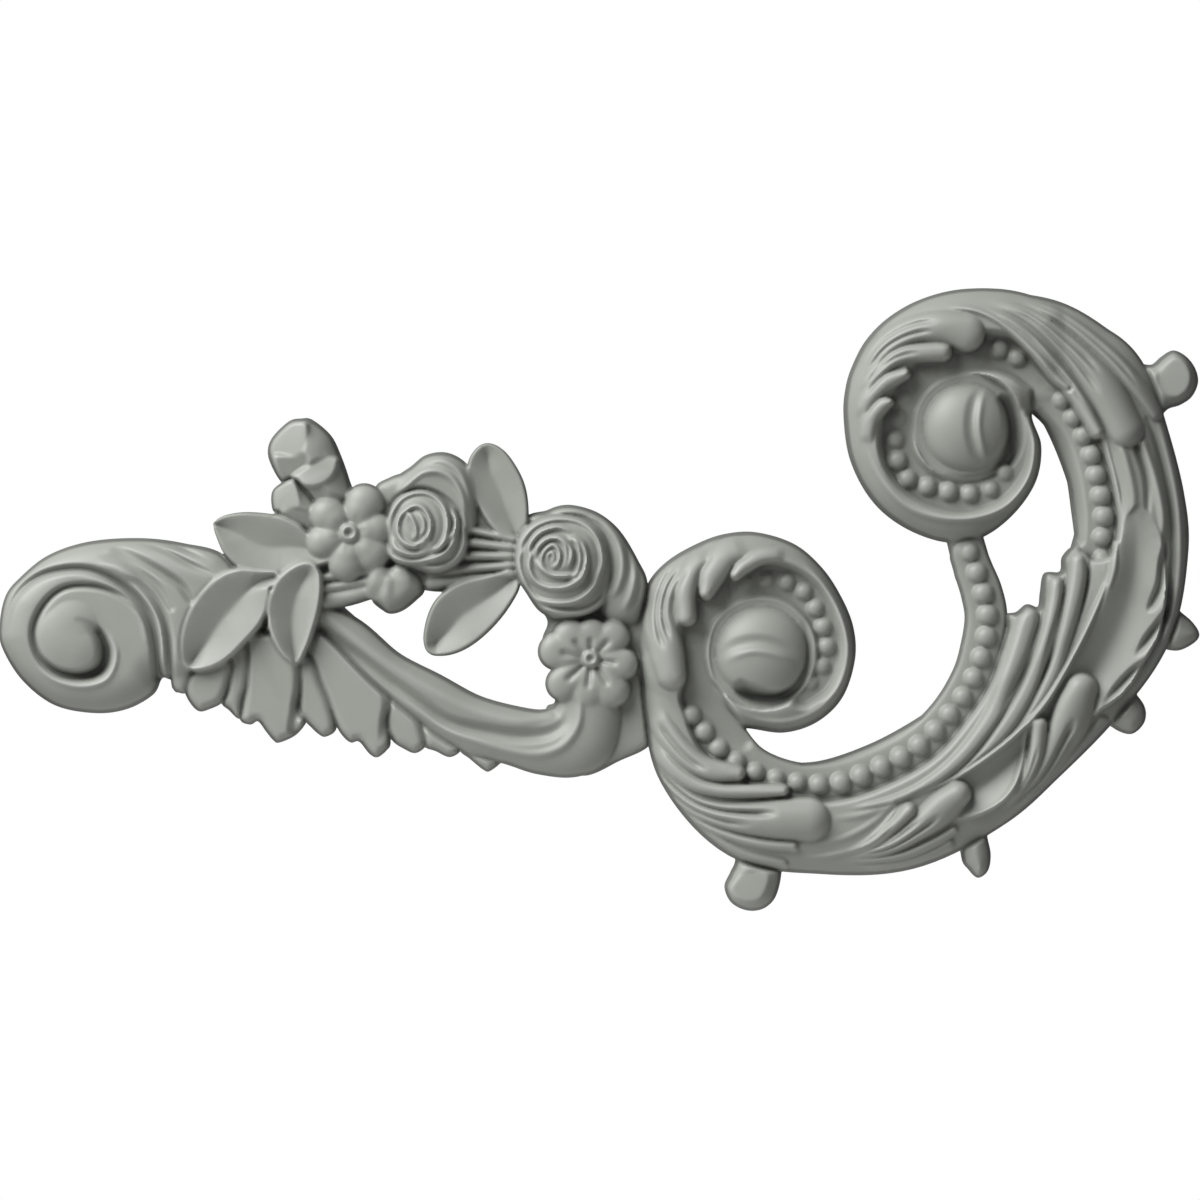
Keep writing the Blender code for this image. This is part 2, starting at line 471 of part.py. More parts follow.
def arm_leaves(r):
    """Ribs, toothed leaf, fingers and lobe clusters of the big C, each over the one before."""
    ribs = [
        [(262, -52, 2, 0), (275, -32, 3, 2), (285, -8, 3.4, 2.5), (289, 18, 3.4, 2.5),
         (287.5, 50, 3.4, 2.5), (281, 80, 3, 2), (277, 92, 2, 1)],
        [(272, -28, 2, -1), (281, -8, 2.6, -3), (284.4, 18, 2.6, -3), (283.4, 48, 2.6, -3),
         (277.4, 76, 2.4, -3), (272, 90, 2, -1)],
        [(279, 28, 1, 0), (279.5, 42, 3, 2.5), (276, 60, 3.4, 2.5), (270, 78, 3, 2)],
        [(272, 42, 2, -1), (271.6, 60, 2.4, -3), (266, 78, 2.4, -3)],
        [(262, 32, 2, 0), (265, 50, 3, 1.4), (261, 70, 3, 1.8), (257, 80, 2, 1)],
        [(257, 32, 2, 0), (259.4, 50, 2.2, -2.4), (255, 70, 2.2, -2.4), (252, 80, 2, -1)],
    ]
    for rows in ribs:
        r.line(rows)
    r.leaf(between([(166, -95), (190, -78.5), (205, -66), (220, -50), (235, -26), (245, -6),
                    (252.5, 12), (256, 24), (259.4, 36), (265, 44.6)],
                   [(176, -109), (196, -103), (214, -88), (232, -69), (250, -52), (263, -42),
                    (271.5, -29), (279, -14), (281, 2), (280.6, 18), (278, 31), (271, 44)],
                   [14, 14.6, 15.4, 15.8, 16, 16, 16.6, 18.4, 20.4]), rise=7.4, lip=0.1, rib=0.1,
           keel=0.18, tip=0.22, outline=False, fade=0.08)
    teeth = [
        [(282, 31, 2, -1), (280, 20, 3, -5), (278.6, 8, 3.2, -5.4), (275, -1, 2.8, -4),
         (272, -6, 1, 0)],
        [(282, -4, 2, -2), (277.6, -12, 3, -5), (271.6, -20.4, 3, -4.6), (266, -28, 1, 0)],
        [(271, -30, 2, -2), (264.6, -36, 3, -5), (257.6, -43.6, 3, -4.6), (250, -52, 1, 0)],
    ]
    for rows in teeth:
        r.line(rows)
    fingers = [
        ([(122, -103), (150, -95), (172, -80), (190, -57), (201, -30), (207, -9)],
         [(122, -106), (152, -99), (177, -85), (197, -62), (211, -36), (219, -9)],
         [1, 2.4, 3, 3, 3.4, 3], 3),
        ([(150, -99), (178, -85), (198, -61), (212, -35), (220, -12), (222.5, 7)],
         [(150, -101), (182, -86), (204, -66), (218, -42), (227, -15), (231.5, 7)],
         [0.6, 1.8, 2.4, 3, 3, 3], 3),
        ([(176, -88), (205, -65), (219, -41), (227, -17), (231, 2), (233, 19)],
         [(177, -89.5), (207, -68), (224, -46), (236, -17), (241.5, 4), (243.6, 19)],
         [0.5, 1.4, 2, 2.8, 3, 3], 3),
        ([(168, -93.5), (190, -78), (205, -65.6), (220, -49.6), (234.6, -25), (245, -3),
          (250.6, 9)], [(168, -95.4), (191, -80.6), (207, -68), (222.6, -51.6), (237.4, -26),
                        (248, -4.6), (252, 8.4)], [1, 3, 4, 4, 4, 4, 2], 2),
        ([(251, 5), (253, 16), (255.6, 28.6)], [(254, 6), (257.4, 16), (257.6, 28.6)], [2, 3, 2],
         2),
    ]
    for left, right, lifts, power in fingers:
        r.lobe(between(left, right, lifts), power=power, fade=0.1)
    right_cluster(r)
    middle_cluster(r)
    left_cluster(r)


def finger_ends(r):
    """The three stepped ends of the fingers, which stand clear of the strip into the gap."""
    r.plate([(203, -12), (203, -7), (208, -5.8), (213, -2), (218.6, -3.2), (219.8, 4),
             (221.8, 13.4), (229.6, 14.4), (230.8, 21.6), (236.4, 26.8), (244, 24), (252, 0),
             (238, -30), (212, -44), (200, -34)], 7, 9, 4, blend=2)
    ends = [
        ([(186, -54), (197, -32), (204.6, -14), (208.8, -8.4)], [(198, -58), (210, -36), (219, -16),
                                                                 (218.6, -8.4)]),
        ([(206, -46), (214, -22), (221.4, -2), (223.4, 8.6)], [(216, -48), (226, -24), (231, -2),
                                                               (230.4, 8.6)]),
        ([(218, -36), (227, -8), (232, 12), (233.4, 19.4)], [(228, -38), (237, -12), (243, 10),
                                                             (241.8, 19.4)]),
    ]
    for left, right in ends:
        r.bar(between(left, right, [21, 21, 20, 18]), drop=6, power=2.6, over=True, fade=0.4)


def right_cluster(r):
    """The lobes at the lower right of the C, and the rim of the scoop before them."""
    r.lobe(between([(200, -106), (222, -88), (236, -73), (248, -58)],
                   [(202, -109), (226, -91), (242, -74.6), (253, -62)], [1, 2, 2.6, 2]))
    r.lobe(between([(206, -99), (216, -84), (222, -66), (226, -52), (231, -43)],
                   [(209, -103), (226, -88), (237, -73), (244.5, -61), (247.4, -46)],
                   [1.4, 3.2, 5, 6.4, 7]), flutes=[(-0.1, 0.16, 3.75, 0.05, 0.8),
                                                   (-0.62, 0.14, 2, 0.1, 0.75)])
    r.lobe(between([(198, -104), (208, -92), (212.6, -78), (214, -62)],
                   [(202, -105), (214, -91), (221, -76), (222.6, -62)], [1.4, 3.4, 5, 4.6]),
           flutes=[(0.1, 0.2, 1.75, 0.2, 0.8)])
    r.line([(180, -110, 1.5, 0), (196, -102.6, 1.8, 2), (205, -93, 1.8, 2.6),
            (209.6, -80, 1.8, 2.6), (212, -66, 1.8, 2.2), (216, -58.4, 1.5, 1.4)])


def middle_cluster(r):
    """The lobes at the bottom of the C, and the rim of the scoop before them."""
    for rows in [
        [(100, -128, 1.6, 0), (116, -126.6, 1.8, 2), (130, -121.6, 1.8, 2.4),
         (140, -113.4, 1.8, 2.4), (147, -104.8, 1.6, 1.6), (152, -101, 1.5, 0.6)],
        [(104, -121, 2, 0), (120, -118.6, 2.4, 1), (134, -111.6, 2.4, 1), (146, -101, 2, 0.6)],
        [(114, -109, 2.4, 0), (130, -106.6, 2.6, 1.2), (146, -101.4, 2.4, 0.8)],
    ]:
        r.line(rows)
    r.lobe(between([(124, -133), (148, -129), (162, -122.6), (170, -118.6)],
                   [(126, -136), (150, -133.4), (166, -129), (176, -125)], [1, 2, 2.4, 2.4]))
    r.lobe(between([(120, -130), (146, -126), (164, -118.6), (174.6, -112.4)],
                   [(121, -131.6), (150, -129.4), (168, -122.6), (177.6, -116)], [1, 2.2, 3, 3]))
    r.lobe(between([(120, -127), (140, -120), (153, -109.4), (164, -97.6), (172.4, -92.4)],
                   [(122, -130), (146, -125.6), (164, -117), (175, -110), (183.4, -100.4)],
                   [1.4, 3.4, 5, 6.4, 7]), flutes=[(-0.2, 0.15, 3.5, 0.1, 0.82),
                                                   (0.42, 0.13, 2, 0.15, 0.7)])
    r.lobe(between([(112, -127.4), (130, -122), (142, -112.4), (149.4, -104)],
                   [(114, -129), (136, -122.6), (150, -111.6), (157.6, -104.6)],
                   [0.6, 2.4, 4.2, 5.6]), flutes=[(-0.15, 0.2, 2, 0.1, 0.8)])


def left_cluster(r):
    """The lobes at the lower left of the C, from its outer side in to the beads."""
    r.lobe(between([(48, -110), (62, -119), (76, -125), (92, -128.4)],
                   [(48, -113), (60, -122.6), (72, -131), (90, -135)], [1, 2, 2.6, 2.8]))
    r.lobe(between([(38, -99), (50, -109.6), (66, -115.6), (82, -118.6), (96, -119.6)],
                   [(38, -102), (50, -113), (66, -120), (82, -124.2), (96, -125.4)],
                   [1, 2.2, 3, 3.8, 4.2]))
    r.lobe(between([(26, -76), (32, -86), (44, -95.6), (58, -99.6), (75, -99.6), (92, -98),
                    (103.6, -98)], [(27, -84), (34, -96), (46, -106.6), (58, -112.4), (72, -116.4),
                                    (90, -119.4), (103.6, -120)], [1, 2.4, 3.8, 5, 6, 7, 7.4]),
           flutes=[(0.3, 0.16, 4.4, 0.0, 0.85), (-0.4, 0.16, 3.6, 0.0, 0.7)], fade=0.15)
    r.lobe(between([(25, -66), (34, -78), (47, -87.6), (60, -91), (76, -91.2), (91, -91.4)],
                   [(26, -74), (34, -86), (46, -94.6), (60, -98), (76, -98.4), (91, -97.8)],
                   [1, 3, 4.4, 5.6, 6, 6]), fade=0.15)
    r.lobe(between([(26, -48), (33, -58), (42, -69.6), (52, -77.4), (68, -82)],
                   [(25, -60), (33, -73), (45, -85), (57, -90.4), (69, -90)],
                   [1, 2.6, 3.8, 4.8, 5.2]), flutes=[(-0.1, 0.2, 3, 0.1, 0.75)], fade=0.15)


def wraps(r):
    """Lobes that wrap over the rims of the two curls, and over the top of the right arm."""
    lower_curl = [
        ([(90, 26), (78, 24.6), (69, 20), (64.6, 14)], [(96, 21), (84, 19.6), (76, 15.4),
                                                        (70, 11.4)], ()),
        ([(66, 31), (56, 26), (50, 16), (49, 5)], [(80, 27), (69, 21), (63, 12), (56.6, 3)], ()),
        ([(50, 27), (41, 18), (37.4, 6), (38, -8)], [(58, 24), (50, 14), (47.6, 2), (48, -8)], ()),
        ([(34, 18), (25, 6), (21, -12), (24, -26), (28, -38)], [(46, 22), (38, 8), (36, -6),
                                                                (41, -22), (42.6, -37)],
         [(0.36, 0.13, 3, 0.0, 0.75), (-0.1, 0.13, 3, 0.0, 0.8), (-0.55, 0.12, 2, 0.1, 0.7)]),
    ]
    for left, right, flutes in lower_curl:
        r.lobe(between(left, right, [1.4, 3, 4, 5]), flutes=flutes, fade=0.2)
    upper_curl = [
        ([(129, 80), (131, 94), (138, 100), (142.4, 99.6)], [(134, 74), (137, 86), (142, 93),
                                                             (145.6, 97)], ()),
        ([(126, 92), (130, 104), (140, 112), (150.6, 115)], [(130, 88), (137, 98), (145, 104.6),
                                                             (152.4, 109.6)], ()),
        ([(128, 104), (136, 117), (150, 126), (170, 128.6)], [(129, 98), (138, 109), (150, 117),
                                                              (170, 118.6)],
         [(0, 0.16, 1.75, 0.1, 0.8)]),
        ([(130, 116), (138, 130), (150, 139), (166, 143.6), (182.6, 142)],
         [(131, 108), (142, 121), (156, 127.6), (170, 127.4), (181.6, 123.6)],
         [(0.36, 0.12, 2.5, 0.0, 0.78), (-0.3, 0.12, 2.5, 0.0, 0.75)]),
    ]
    for left, right, flutes in upper_curl:
        r.lobe(between(left, right, [1.4, 3, 4, 5]), flutes=flutes, fade=0.2)
    arm_top = [
        ([(206, 153), (232, 143), (256, 125), (271, 108.6), (280.6, 95)],
         [(206, 149), (230, 136), (251, 117), (264, 102), (273, 91)], [1, 3, 4, 4.4, 3.6],
         [(0.1, 0.16, 2.4, 0.05, 0.85)]),
        ([(192, 151), (216, 144), (240, 127), (259, 108), (270.4, 87)],
         [(192, 147), (212, 137), (230, 119), (243, 99), (252.4, 83)], [1, 3.4, 5, 6, 6.4],
         [(0.34, 0.14, 3, 0.1, 0.72), (-0.34, 0.14, 3, 0.1, 0.8)]),
        ([(186, 148), (207, 139), (225, 122), (241, 102), (250, 85)],
         [(186, 145), (203, 135), (219, 118), (232, 101), (244, 82)], [1, 3, 4.4, 5, 5],
         [(0.1, 0.2, 2.4, 0.25, 0.85)]),
        ([(170, 147.6), (188, 145), (203, 137), (218.4, 123), (230.4, 110), (234, 106.6)],
         [(170, 145.4), (187, 142), (200, 134.6), (213.8, 121.4), (225, 108.4), (230, 104.8)],
         [1, 2.4, 3.2, 3.6, 4, 3.6], []),
    ]
    for left, right, lifts, flutes in arm_top:
        r.lobe(between(left, right, lifts), flutes=flutes, fade=0.2)


def bead_string(r, rows, count):
    """Beads at even steps along rows of x, z and radius, half sunk in the strip."""
    for x, z, radius in even_steps(rows, count):
        r.ball(x, z, BEAD_SHARE * radius, BEAD_SEAT, squash=BEAD_SQUASH, blend=2.4)


def beads(r):
    bead_string(r, [(45.5, -57, 5.3), (60, -74.5, 5.2), (78, -86, 5), (97, -90.5, 4.7),
                    (117, -91.5, 5.6), (138, -84, 5.5), (157, -74, 5.4), (172, -59.5, 5.1),
                    (184.5, -42, 5), (191.8, -21.5, 5.4), (193, -6, 5.5), (189, 10, 5.5),
                    (184, 24, 5)], 23)
    bead_string(r, [(73, 9, 3.4), (81, 10.4, 3.8), (90, 9.5, 4.5), (99, 6.5, 4.6), (106, -2, 4.7),
                    (110.4, -11.5, 4.7), (113, -21.5, 4.7), (111, -32, 4.4), (105, -41, 4)], 9)
    bead_string(r, [(152, 101, 3.8), (148.5, 90, 4.2), (147, 78, 5), (148.5, 68, 5.4),
                    (153.5, 60, 5.1), (163, 56.5, 5), (174, 54, 5.2), (184, 53, 4.8),
                    (194, 55, 4.4), (201.5, 63.5, 4.4)], 10)
    bead_string(r, [(198.6, 125, 5.4), (207.8, 120.6, 5)], 2)
    bead_string(r, [(229.8, 99.6, 4.6), (235.2, 92, 4.9), (240, 83.6, 5), (244.2, 74, 5.2),
                    (247, 63, 5.2), (249.5, 52, 5.4), (251, 41, 5.4), (250, 31, 5), (250, 21, 4.5)],
                9)


def spray(r):
    """Five leaves, two twigs, three buds and the ribs between the roses."""
    r.leaf(between([(-140, 34), (-152, 40.6), (-164, 43), (-176, 43.6), (-186, 42), (-192, 38.8)],
                   [(-140, 17), (-155, 13.2), (-167, 10), (-176, 14.8), (-182, 23.6), (-190, 36.8)],
                   [14, 14, 13.5, 12]), rise=3.6)
    r.leaf(between([(-164, 14), (-176, 14), (-190, 11.6), (-200, 2), (-205, -10), (-206.4, -24),
                    (-204.4, -33.4)], [(-160, 9), (-166.6, 2), (-169, -12), (-176, -21),
                                       (-184, -28.4), (-193, -32), (-203.6, -33.8)],
                   [17, 17, 16.5, 15.5, 14]), rise=5)
    r.leaf(between([(-147, 16), (-157, 11), (-163.6, 4), (-165.4, -8), (-160, -22), (-151.4, -32)],
                   [(-142, 15), (-138.4, 10), (-138.6, -2), (-142.6, -16), (-147, -26),
                    (-150.6, -32)], [17, 17, 16, 14]), rise=5)
    r.leaf(between([(-46, 32), (-56, 40), (-63, 52), (-66, 61), (-63, 69), (-57.6, 75.6)],
                   [(-38, 34), (-36, 42), (-37, 56), (-42, 66), (-48.6, 72.6), (-56, 75.8)],
                   [11, 11, 10.5, 9]), rise=3.6)
    r.leaf(between([(-48, 13), (-62, 9), (-74, 6), (-81, 1), (-85, -11), (-85.6, -17)],
                   [(-40, 8), (-42, 2), (-49, -8.6), (-58, -18), (-67, -23.6), (-77, -26)],
                   [11, 11, 10.5, 9]), rise=4.4)
    twigs = [
        [(-140, 11, 2.6, 15.5), (-126, 12.8, 2.6, 15.5), (-112, 15, 2.6, 15)],
        [(-140, 5.4, 2.8, 15.5), (-126, 7.6, 2.8, 15.5), (-112, 10, 2.8, 15)],
        [(-142, -0.6, 4.2, 15.5), (-127, 1.2, 4.4, 15.5), (-113, 5, 4, 15)],
    ]
    for rows in twigs:
        r.bar(rows, drop=5)
    for left_z, right_z, half_width in [(39, 30, 2.2), (31, 26, 2.6), (22.5, 21.8, 2.6),
                                        (14.5, 17.4, 2.6), (8.4, 13, 2.2)]:
        middle_z = (left_z + right_z) / 2
        r.bar([(-84, left_z, half_width + 1.6, 12), (-62, middle_z, half_width, 13.6),
               (-42, right_z, half_width, 15)], drop=5)
    buds(r)


def buds(r):
    """Three cut buds: each a body with flat cut faces that catch the light differently."""
    r.plate([(-158.6, 58.6), (-164.2, 68), (-165.6, 75), (-163, 81.6), (-155, 89.2), (-149, 90.6),
             (-143.4, 90), (-134.4, 82.4), (-129.6, 73), (-125, 60), (-123, 50), (-135, 44),
             (-148, 50)], 5, 15, 17, over=True)
    faces = [
        ([(-149, 58), (-158.4, 59.6), (-162.4, 69.6), (-160, 73.4), (-148.6, 73.6), (-145, 66)],
         15.6, (0.02, 0.3)),
        ([(-160, 72.4), (-164, 73.4), (-162, 80.4), (-155, 87.6), (-147, 89), (-145, 84),
          (-149, 72.6)], 15.4, (0.34, -0.06)),
        ([(-153, 60), (-146, 66.6), (-137, 70.6), (-130, 70), (-133, 61), (-143, 56)], 19,
         (0.0, -0.3)),
    ]
    for outline, height, lean in faces:
        r.plate(outline, height, 0.4, 2, lean=lean, over=True, edge=2.4, outline=False)
    r.plate([(-160.6, 43), (-163.4, 46), (-163.4, 54), (-158.6, 58.6), (-153, 60.8), (-148, 57),
             (-141, 48), (-138, 38), (-144, 33), (-150, 38)], 6, 12, 10, over=True)
    r.plate([(-160.6, 44.4), (-162.6, 47), (-162.6, 54), (-158, 58), (-152.6, 60), (-149.6, 54),
             (-149.6, 45.6)], 15, 0.4, 2, lean=(0.34, -0.04), over=True, edge=1.8, outline=False)
    r.plate([(-159, 43.6), (-149.6, 45.4), (-141, 41), (-140, 34.6), (-147, 36.4)], 14, 0.4, 2,
            lean=(0, 0.4), over=True, edge=1.8, outline=False)
    r.plate([(-113.6, 0.4), (-108.4, -5), (-104, -6.8), (-98, -5), (-91.6, 0), (-87.6, 4.8),
             (-90, 12), (-96, 17), (-108, 18), (-114, 13)], 5, 13, 9, over=True)
    for rows in [
        [(-112.6, 2, 4, 15), (-111.6, 8, 5, 18), (-110, 14, 4.6, 18)],
        [(-99, 3, 4, 15), (-97.6, 8.6, 5, 18), (-99.6, 14, 4.6, 18)],
        [(-105, -4, 2.6, 14), (-106, 2, 3.6, 18), (-105, 9, 3.4, 18)],
    ]:
        r.bar(rows, drop=5, blend=3, outline=False)


def blossom(r, x, z, petals, boss, top, groove, drop, power):
    """An open flower: round petals about a boss with a dimple."""
    for angle, reach, wide in petals:
        ux = math.cos(math.radians(angle))
        uz = math.sin(math.radians(angle))
        out = reach - wide
        near = r.follow([(x + ux * 0.3 * out, z + uz * 0.3 * out, 0.4 * wide, top - 4.5),
                         (x + ux * 0.7 * out, z + uz * 0.7 * out, 0.86 * wide, top - 2),
                         (x + ux * out, z + uz * out, wide, top - 2)])
        bump = near.value - drop * (1 - dome(near.across, power))
        bump -= groove * np.exp(-(near.across / 0.22)**2) * smooth_step((0.97 - near.along) / 0.4)
        r.put(near, np.maximum(bump, 7), over=False, edge=1.4, blend=1.6)
    r.ball(x, z, boss, top - 4.5, squash=0.9, over=True)
    r.ball(x, z, 0.45 * boss, top - 1.4, squash=-0.9, over=True)


def rose(r, outline, low, rise, wide, rims):
    """A dome ringed by petal rims, each a thin ridge that fades out at both ends."""
    r.plate(outline, low, rise, wide, over=True, edge=2)
    for half, height, places in rims:
        last = len(places) - 1
        hollow = [(x, z, 2.4 * half, 0 if k in (0, last) else -0.4 * height) for k,
                  (x, z) in enumerate(places)]
        ridge = [(x, z, half, 0 if k in (0, last) else 1.4 * height) for k,
                 (x, z) in enumerate(places)]
        r.line(hollow)
        r.line(ridge)


def flowers(r):
    """Two roses with their outer petals, and two open flowers."""
    r.plate([(-111.6, 56), (-105, 61), (-97, 63.2), (-90, 60), (-90, 50), (-104, 46)], 10, 5.6, 6,
            blend=2)
    r.plate([(-104, 50), (-102, 60.4), (-94, 66.8), (-87, 72.2), (-78, 73.8), (-70, 71), (-64, 65),
             (-60.6, 56), (-60.6, 46), (-62.6, 34), (-72, 30), (-90, 34)], 7, 11, 10, blend=2)
    back_petals = [
        [(-100, 53, 2, 0), (-95, 58, 2.2, 1.6), (-88, 63.4, 2.4, 2), (-80, 64, 2.6, 2),
         (-73, 60, 2.6, 2.2), (-68, 51, 2.4, 2), (-66.6, 40, 2, 0)],
        [(-86, 69, 2, 0), (-78, 69.4, 2.4, 1.6), (-70, 64, 2.4, 1.8), (-65.4, 54, 2.2, 1.6),
         (-64, 44, 2, 0)],
    ]
    for rows in back_petals:
        r.line(rows)
    rose(r, [(-107, 30), (-106, 42), (-100.6, 51.4), (-91, 55.6), (-80.6, 53.4), (-72, 46.6),
             (-67, 36), (-65.6, 27), (-69.6, 18.6), (-80, 13.4), (-91, 14.8), (-101, 17.6),
             (-106, 22.6)], 12, 13, 19, [(2, 2.6, [(-91, 17.6), (-82, 15.6), (-73, 18.6),
                                                   (-67.6, 26), (-67.4, 36), (-69, 44)]),
                                         (2, 2.8, [(-105, 27), (-103, 21.6), (-96, 19), (-87, 19.6),
                                                   (-78, 22.6), (-72.4, 29.6), (-71, 39),
                                                   (-74, 47)]), (1.8, 2.8,
                                                                 [(-74, 46), (-71.4, 38), (-75, 30),
                                                                  (-80, 25)]),
                                         (1.9, 3, [(-104.6, 31), (-104, 42), (-98.6, 50.4),
                                                   (-90, 53.6), (-82, 51.4), (-76.6, 44.6),
                                                   (-75.6, 35), (-79, 27), (-84, 23.6)]),
                                         (1.9, 2.8, [(-84, 24), (-93, 22.4), (-101, 25.4),
                                                     (-104, 32)]), (1.8, 3,
                                                                    [(-86, 30), (-92, 26.6),
                                                                     (-98, 29.4), (-100.6, 35),
                                                                     (-99.4, 41.4), (-95, 45.6),
                                                                     (-91, 47), (-86.6, 44.6),
                                                                     (-83.8, 38), (-85.6, 31),
                                                                     (-90, 27)]),
                                         (1.4, 2.2, [(-96.6, 38), (-95, 43), (-92, 38), (-91, 33),
                                                     (-93, 29.6)]), (1.4, 2.2,
                                                                     [(-90, 44), (-87.6, 40),
                                                                      (-87, 35), (-90, 31)])])
    r.plate([(-36, 38), (-26, 45), (-16, 47.6), (-4, 45), (5, 39.6), (12, 32), (19, 20),
             (23.6, 9.6), (22, -3), (17, -12), (4, -12), (-8, 4)], 6, 12, 11, blend=2)
    outer_petals = [
        [(-5, 43, 2.4, 0), (3, 38.4, 3, 2.4), (9.6, 29, 3.2, 2.8), (11.4, 18, 3.2, 2.6),
         (9, 7, 3, 2.2), (4, 0, 2, 0)],
        [(8, 36, 2, 0), (15.6, 25, 3, 2.2), (17.8, 14, 3, 2.4), (15.4, 2, 2.8, 2), (11, -6, 2, 0)],
        [(16, 26, 1.6, 0), (21.6, 12, 2.2, 1.8), (20.4, 0, 2.2, 1.6), (16.4, -9, 2, 0)],
        [(-34, 36, 2, 0), (-30, 40, 2.4, 1.6), (-20, 43.6, 2.6, 1.8), (-9, 44, 2.6, 1.6),
         (0, 40, 2, 0)],
    ]
    for rows in outer_petals:
        r.line(rows)
    rose(r, [(-42.4, 20), (-41.6, 29), (-36, 37.6), (-25, 42.4), (-12, 42), (-1, 37.4), (4.6, 29),
             (6.4, 18), (5, 7), (1, -3), (-8, -9), (-20, -10), (-30, -5.6), (-37, 4), (-41, 11)],
         12, 16, 24, [(2.2, 3, [(-36, 3), (-29, -3.4), (-18, -6.6), (-7, -5.6), (1.6, 0), (5, 9)]),
                      (2.2, 3, [(-38, 26), (-40.6, 20), (-38, 10), (-32, 1), (-22, -1.6), (-11, 0),
                                (-3, 6.6), (0.6, 16)]), (2.2, 3,
                                                         [(-41, 22), (-38, 30.6), (-31, 37.6),
                                                          (-20, 40.6), (-8.6, 38.4), (-1, 30.6),
                                                          (1.4, 19), (-2, 9)]), (2, 3,
                                                                                 [(-32, 26),
                                                                                  (-35.4, 18),
                                                                                  (-32, 9.6),
                                                                                  (-24, 6),
                                                                                  (-14.6, 7.4),
                                                                                  (-8.4, 14),
                                                                                  (-7, 22)]),
                      (2, 3.2, [(-35, 20), (-35, 27), (-30, 33.6), (-21.4, 36.4), (-13, 34)]),
                      (2, 3.2, [(-14, 33), (-8.4, 27.4), (-6.6, 20), (-8.4, 11), (-14, 6)]),
                      (1.8, 3, [(-16, 8), (-11, 14), (-9.6, 22), (-12, 29), (-16.4, 31)]),
                      (1.8, 3, [(-33, 21), (-29, 16), (-24, 12.6), (-17, 12), (-10.6, 13)]),
                      (1.8, 3, [(-31.6, 20), (-31, 26), (-26, 30.4), (-19.6, 30.6), (-14.6, 26),
                                (-14.4, 20), (-17, 15)]), (1.6, 2.8,
                                                           [(-22, 31), (-17.6, 27), (-16.6, 21),
                                                            (-19, 15)]), (1.5, 2.6,
                                                                          [(-27, 16), (-29, 20),
                                                                           (-27, 25), (-23, 27.4),
                                                                           (-20, 24), (-20.6, 18.6),
                                                                           (-24, 15.4)]),
                      (1.2, 2, [(-26, 18), (-26, 22), (-23.6, 24), (-22.4, 21), (-24, 18)])])
    blossom(r, -124.5, 33.5, [(140, 23.5, 9.4), (199, 22.4, 8.6), (64, 26.4, 9.8), (8, 21.6, 8.8),
                              (-97, 24.4, 9.6), (-42, 24, 9.4)], 5, 23, 0, 8, 2.1)
    blossom(r, -4.5, -29, [(350, 23.6, 8.6), (45, 23.6, 8.6), (90, 20.4, 8.6), (132, 23.6, 9.4),
                           (168, 26.8, 9.6), (222, 27.4, 9), (303, 27.4, 9.6), (264, 25.4, 8.6)],
            4.6, 23, 2, 6.5, 2.6)


def soften(r):
    """Paint and casting round every arris: a light mean over the neighbours."""
    reach = SOFT_REACH / r.step
    offsets = np.arange(-math.ceil(3 * reach), math.ceil(3 * reach) + 1)
    weights = np.exp(-0.5 * (offsets / reach)**2)
    for axis in (0, 1):
        r.height = sum(w * np.roll(r.height, k, axis) for k,
                       w in zip(offsets, weights / weights.sum()))


def carve(step):
    """Lays every motif on an empty relief, back ones first."""
    r = Relief(FIELD_LOW, FIELD_HIGH, step)
    bodies = (nubs, low_ground, left_volute, fringe, lower_stem, arm, finger_ends, curl_bodies)
    for motif in bodies:
        motif(r)
    r.keep_ground()
    carving = (bead_strips, upper_curl, lower_curl, beads, arm_leaves, wraps, spray, flowers,
               soften)
    for motif in carving:
        motif(r)
    return r


# From the relief to a closed mesh

def covered_cells(relief):
    """Which grid cells lie inside the outline, with none that touch only at a corner."""
    middle = sum(relief.inside[i:i - 1 or None, j:j - 1 or None] for i in (0, 1) for j in (0, 1)) / 4
    cells = middle > 0
    for _ in range(3):
        a, b, c, d = cells[:-1, :-1], cells[:-1, 1:], cells[1:, :-1], cells[1:, 1:]
        crossed = (a & d & ~b & ~c) | (b & c & ~a & ~d)
        for i in (0, 1):
            for j in (0, 1):
                cells[i:i - 1 or None, j:j - 1 or None] |= crossed
    return cells


def sample(field, relief, x, z):
    """The field between grid points, weighted by the four around each place."""
    col = np.clip((x - relief.x[0]) / relief.step, 0, len(relief.x) - 1.001)
    row = np.clip((z - relief.z[0]) / relief.step, 0, len(relief.z) - 1.001)
    j, i = col.astype(int), row.astype(int)
    u, v = col - j, row - i
    low = field[i, j] * (1 - u) + field[i, j + 1] * u
    high = field[i + 1, j] * (1 - u) + field[i + 1, j + 1] * u
    return low * (1 - v) + high * v


def snap_to_outline(relief, x, z, on_edge):
    """Moves the edge points along the slope of the distance field to where it is 0."""
    slope_z, slope_x = np.gradient(relief.inside, relief.step)
    for _ in range(3):
        distance = sample(relief.inside, relief, x, z)
        gx = sample(slope_x, relief, x, z)
        gz = sample(slope_z, relief, x, z)
        size = np.maximum(gx**2 + gz**2, FLATTEST_SLOPE)
        x = np.where(on_edge, x - distance * gx / size, x)
        z = np.where(on_edge, z - distance * gz / size, z)
    return x, z


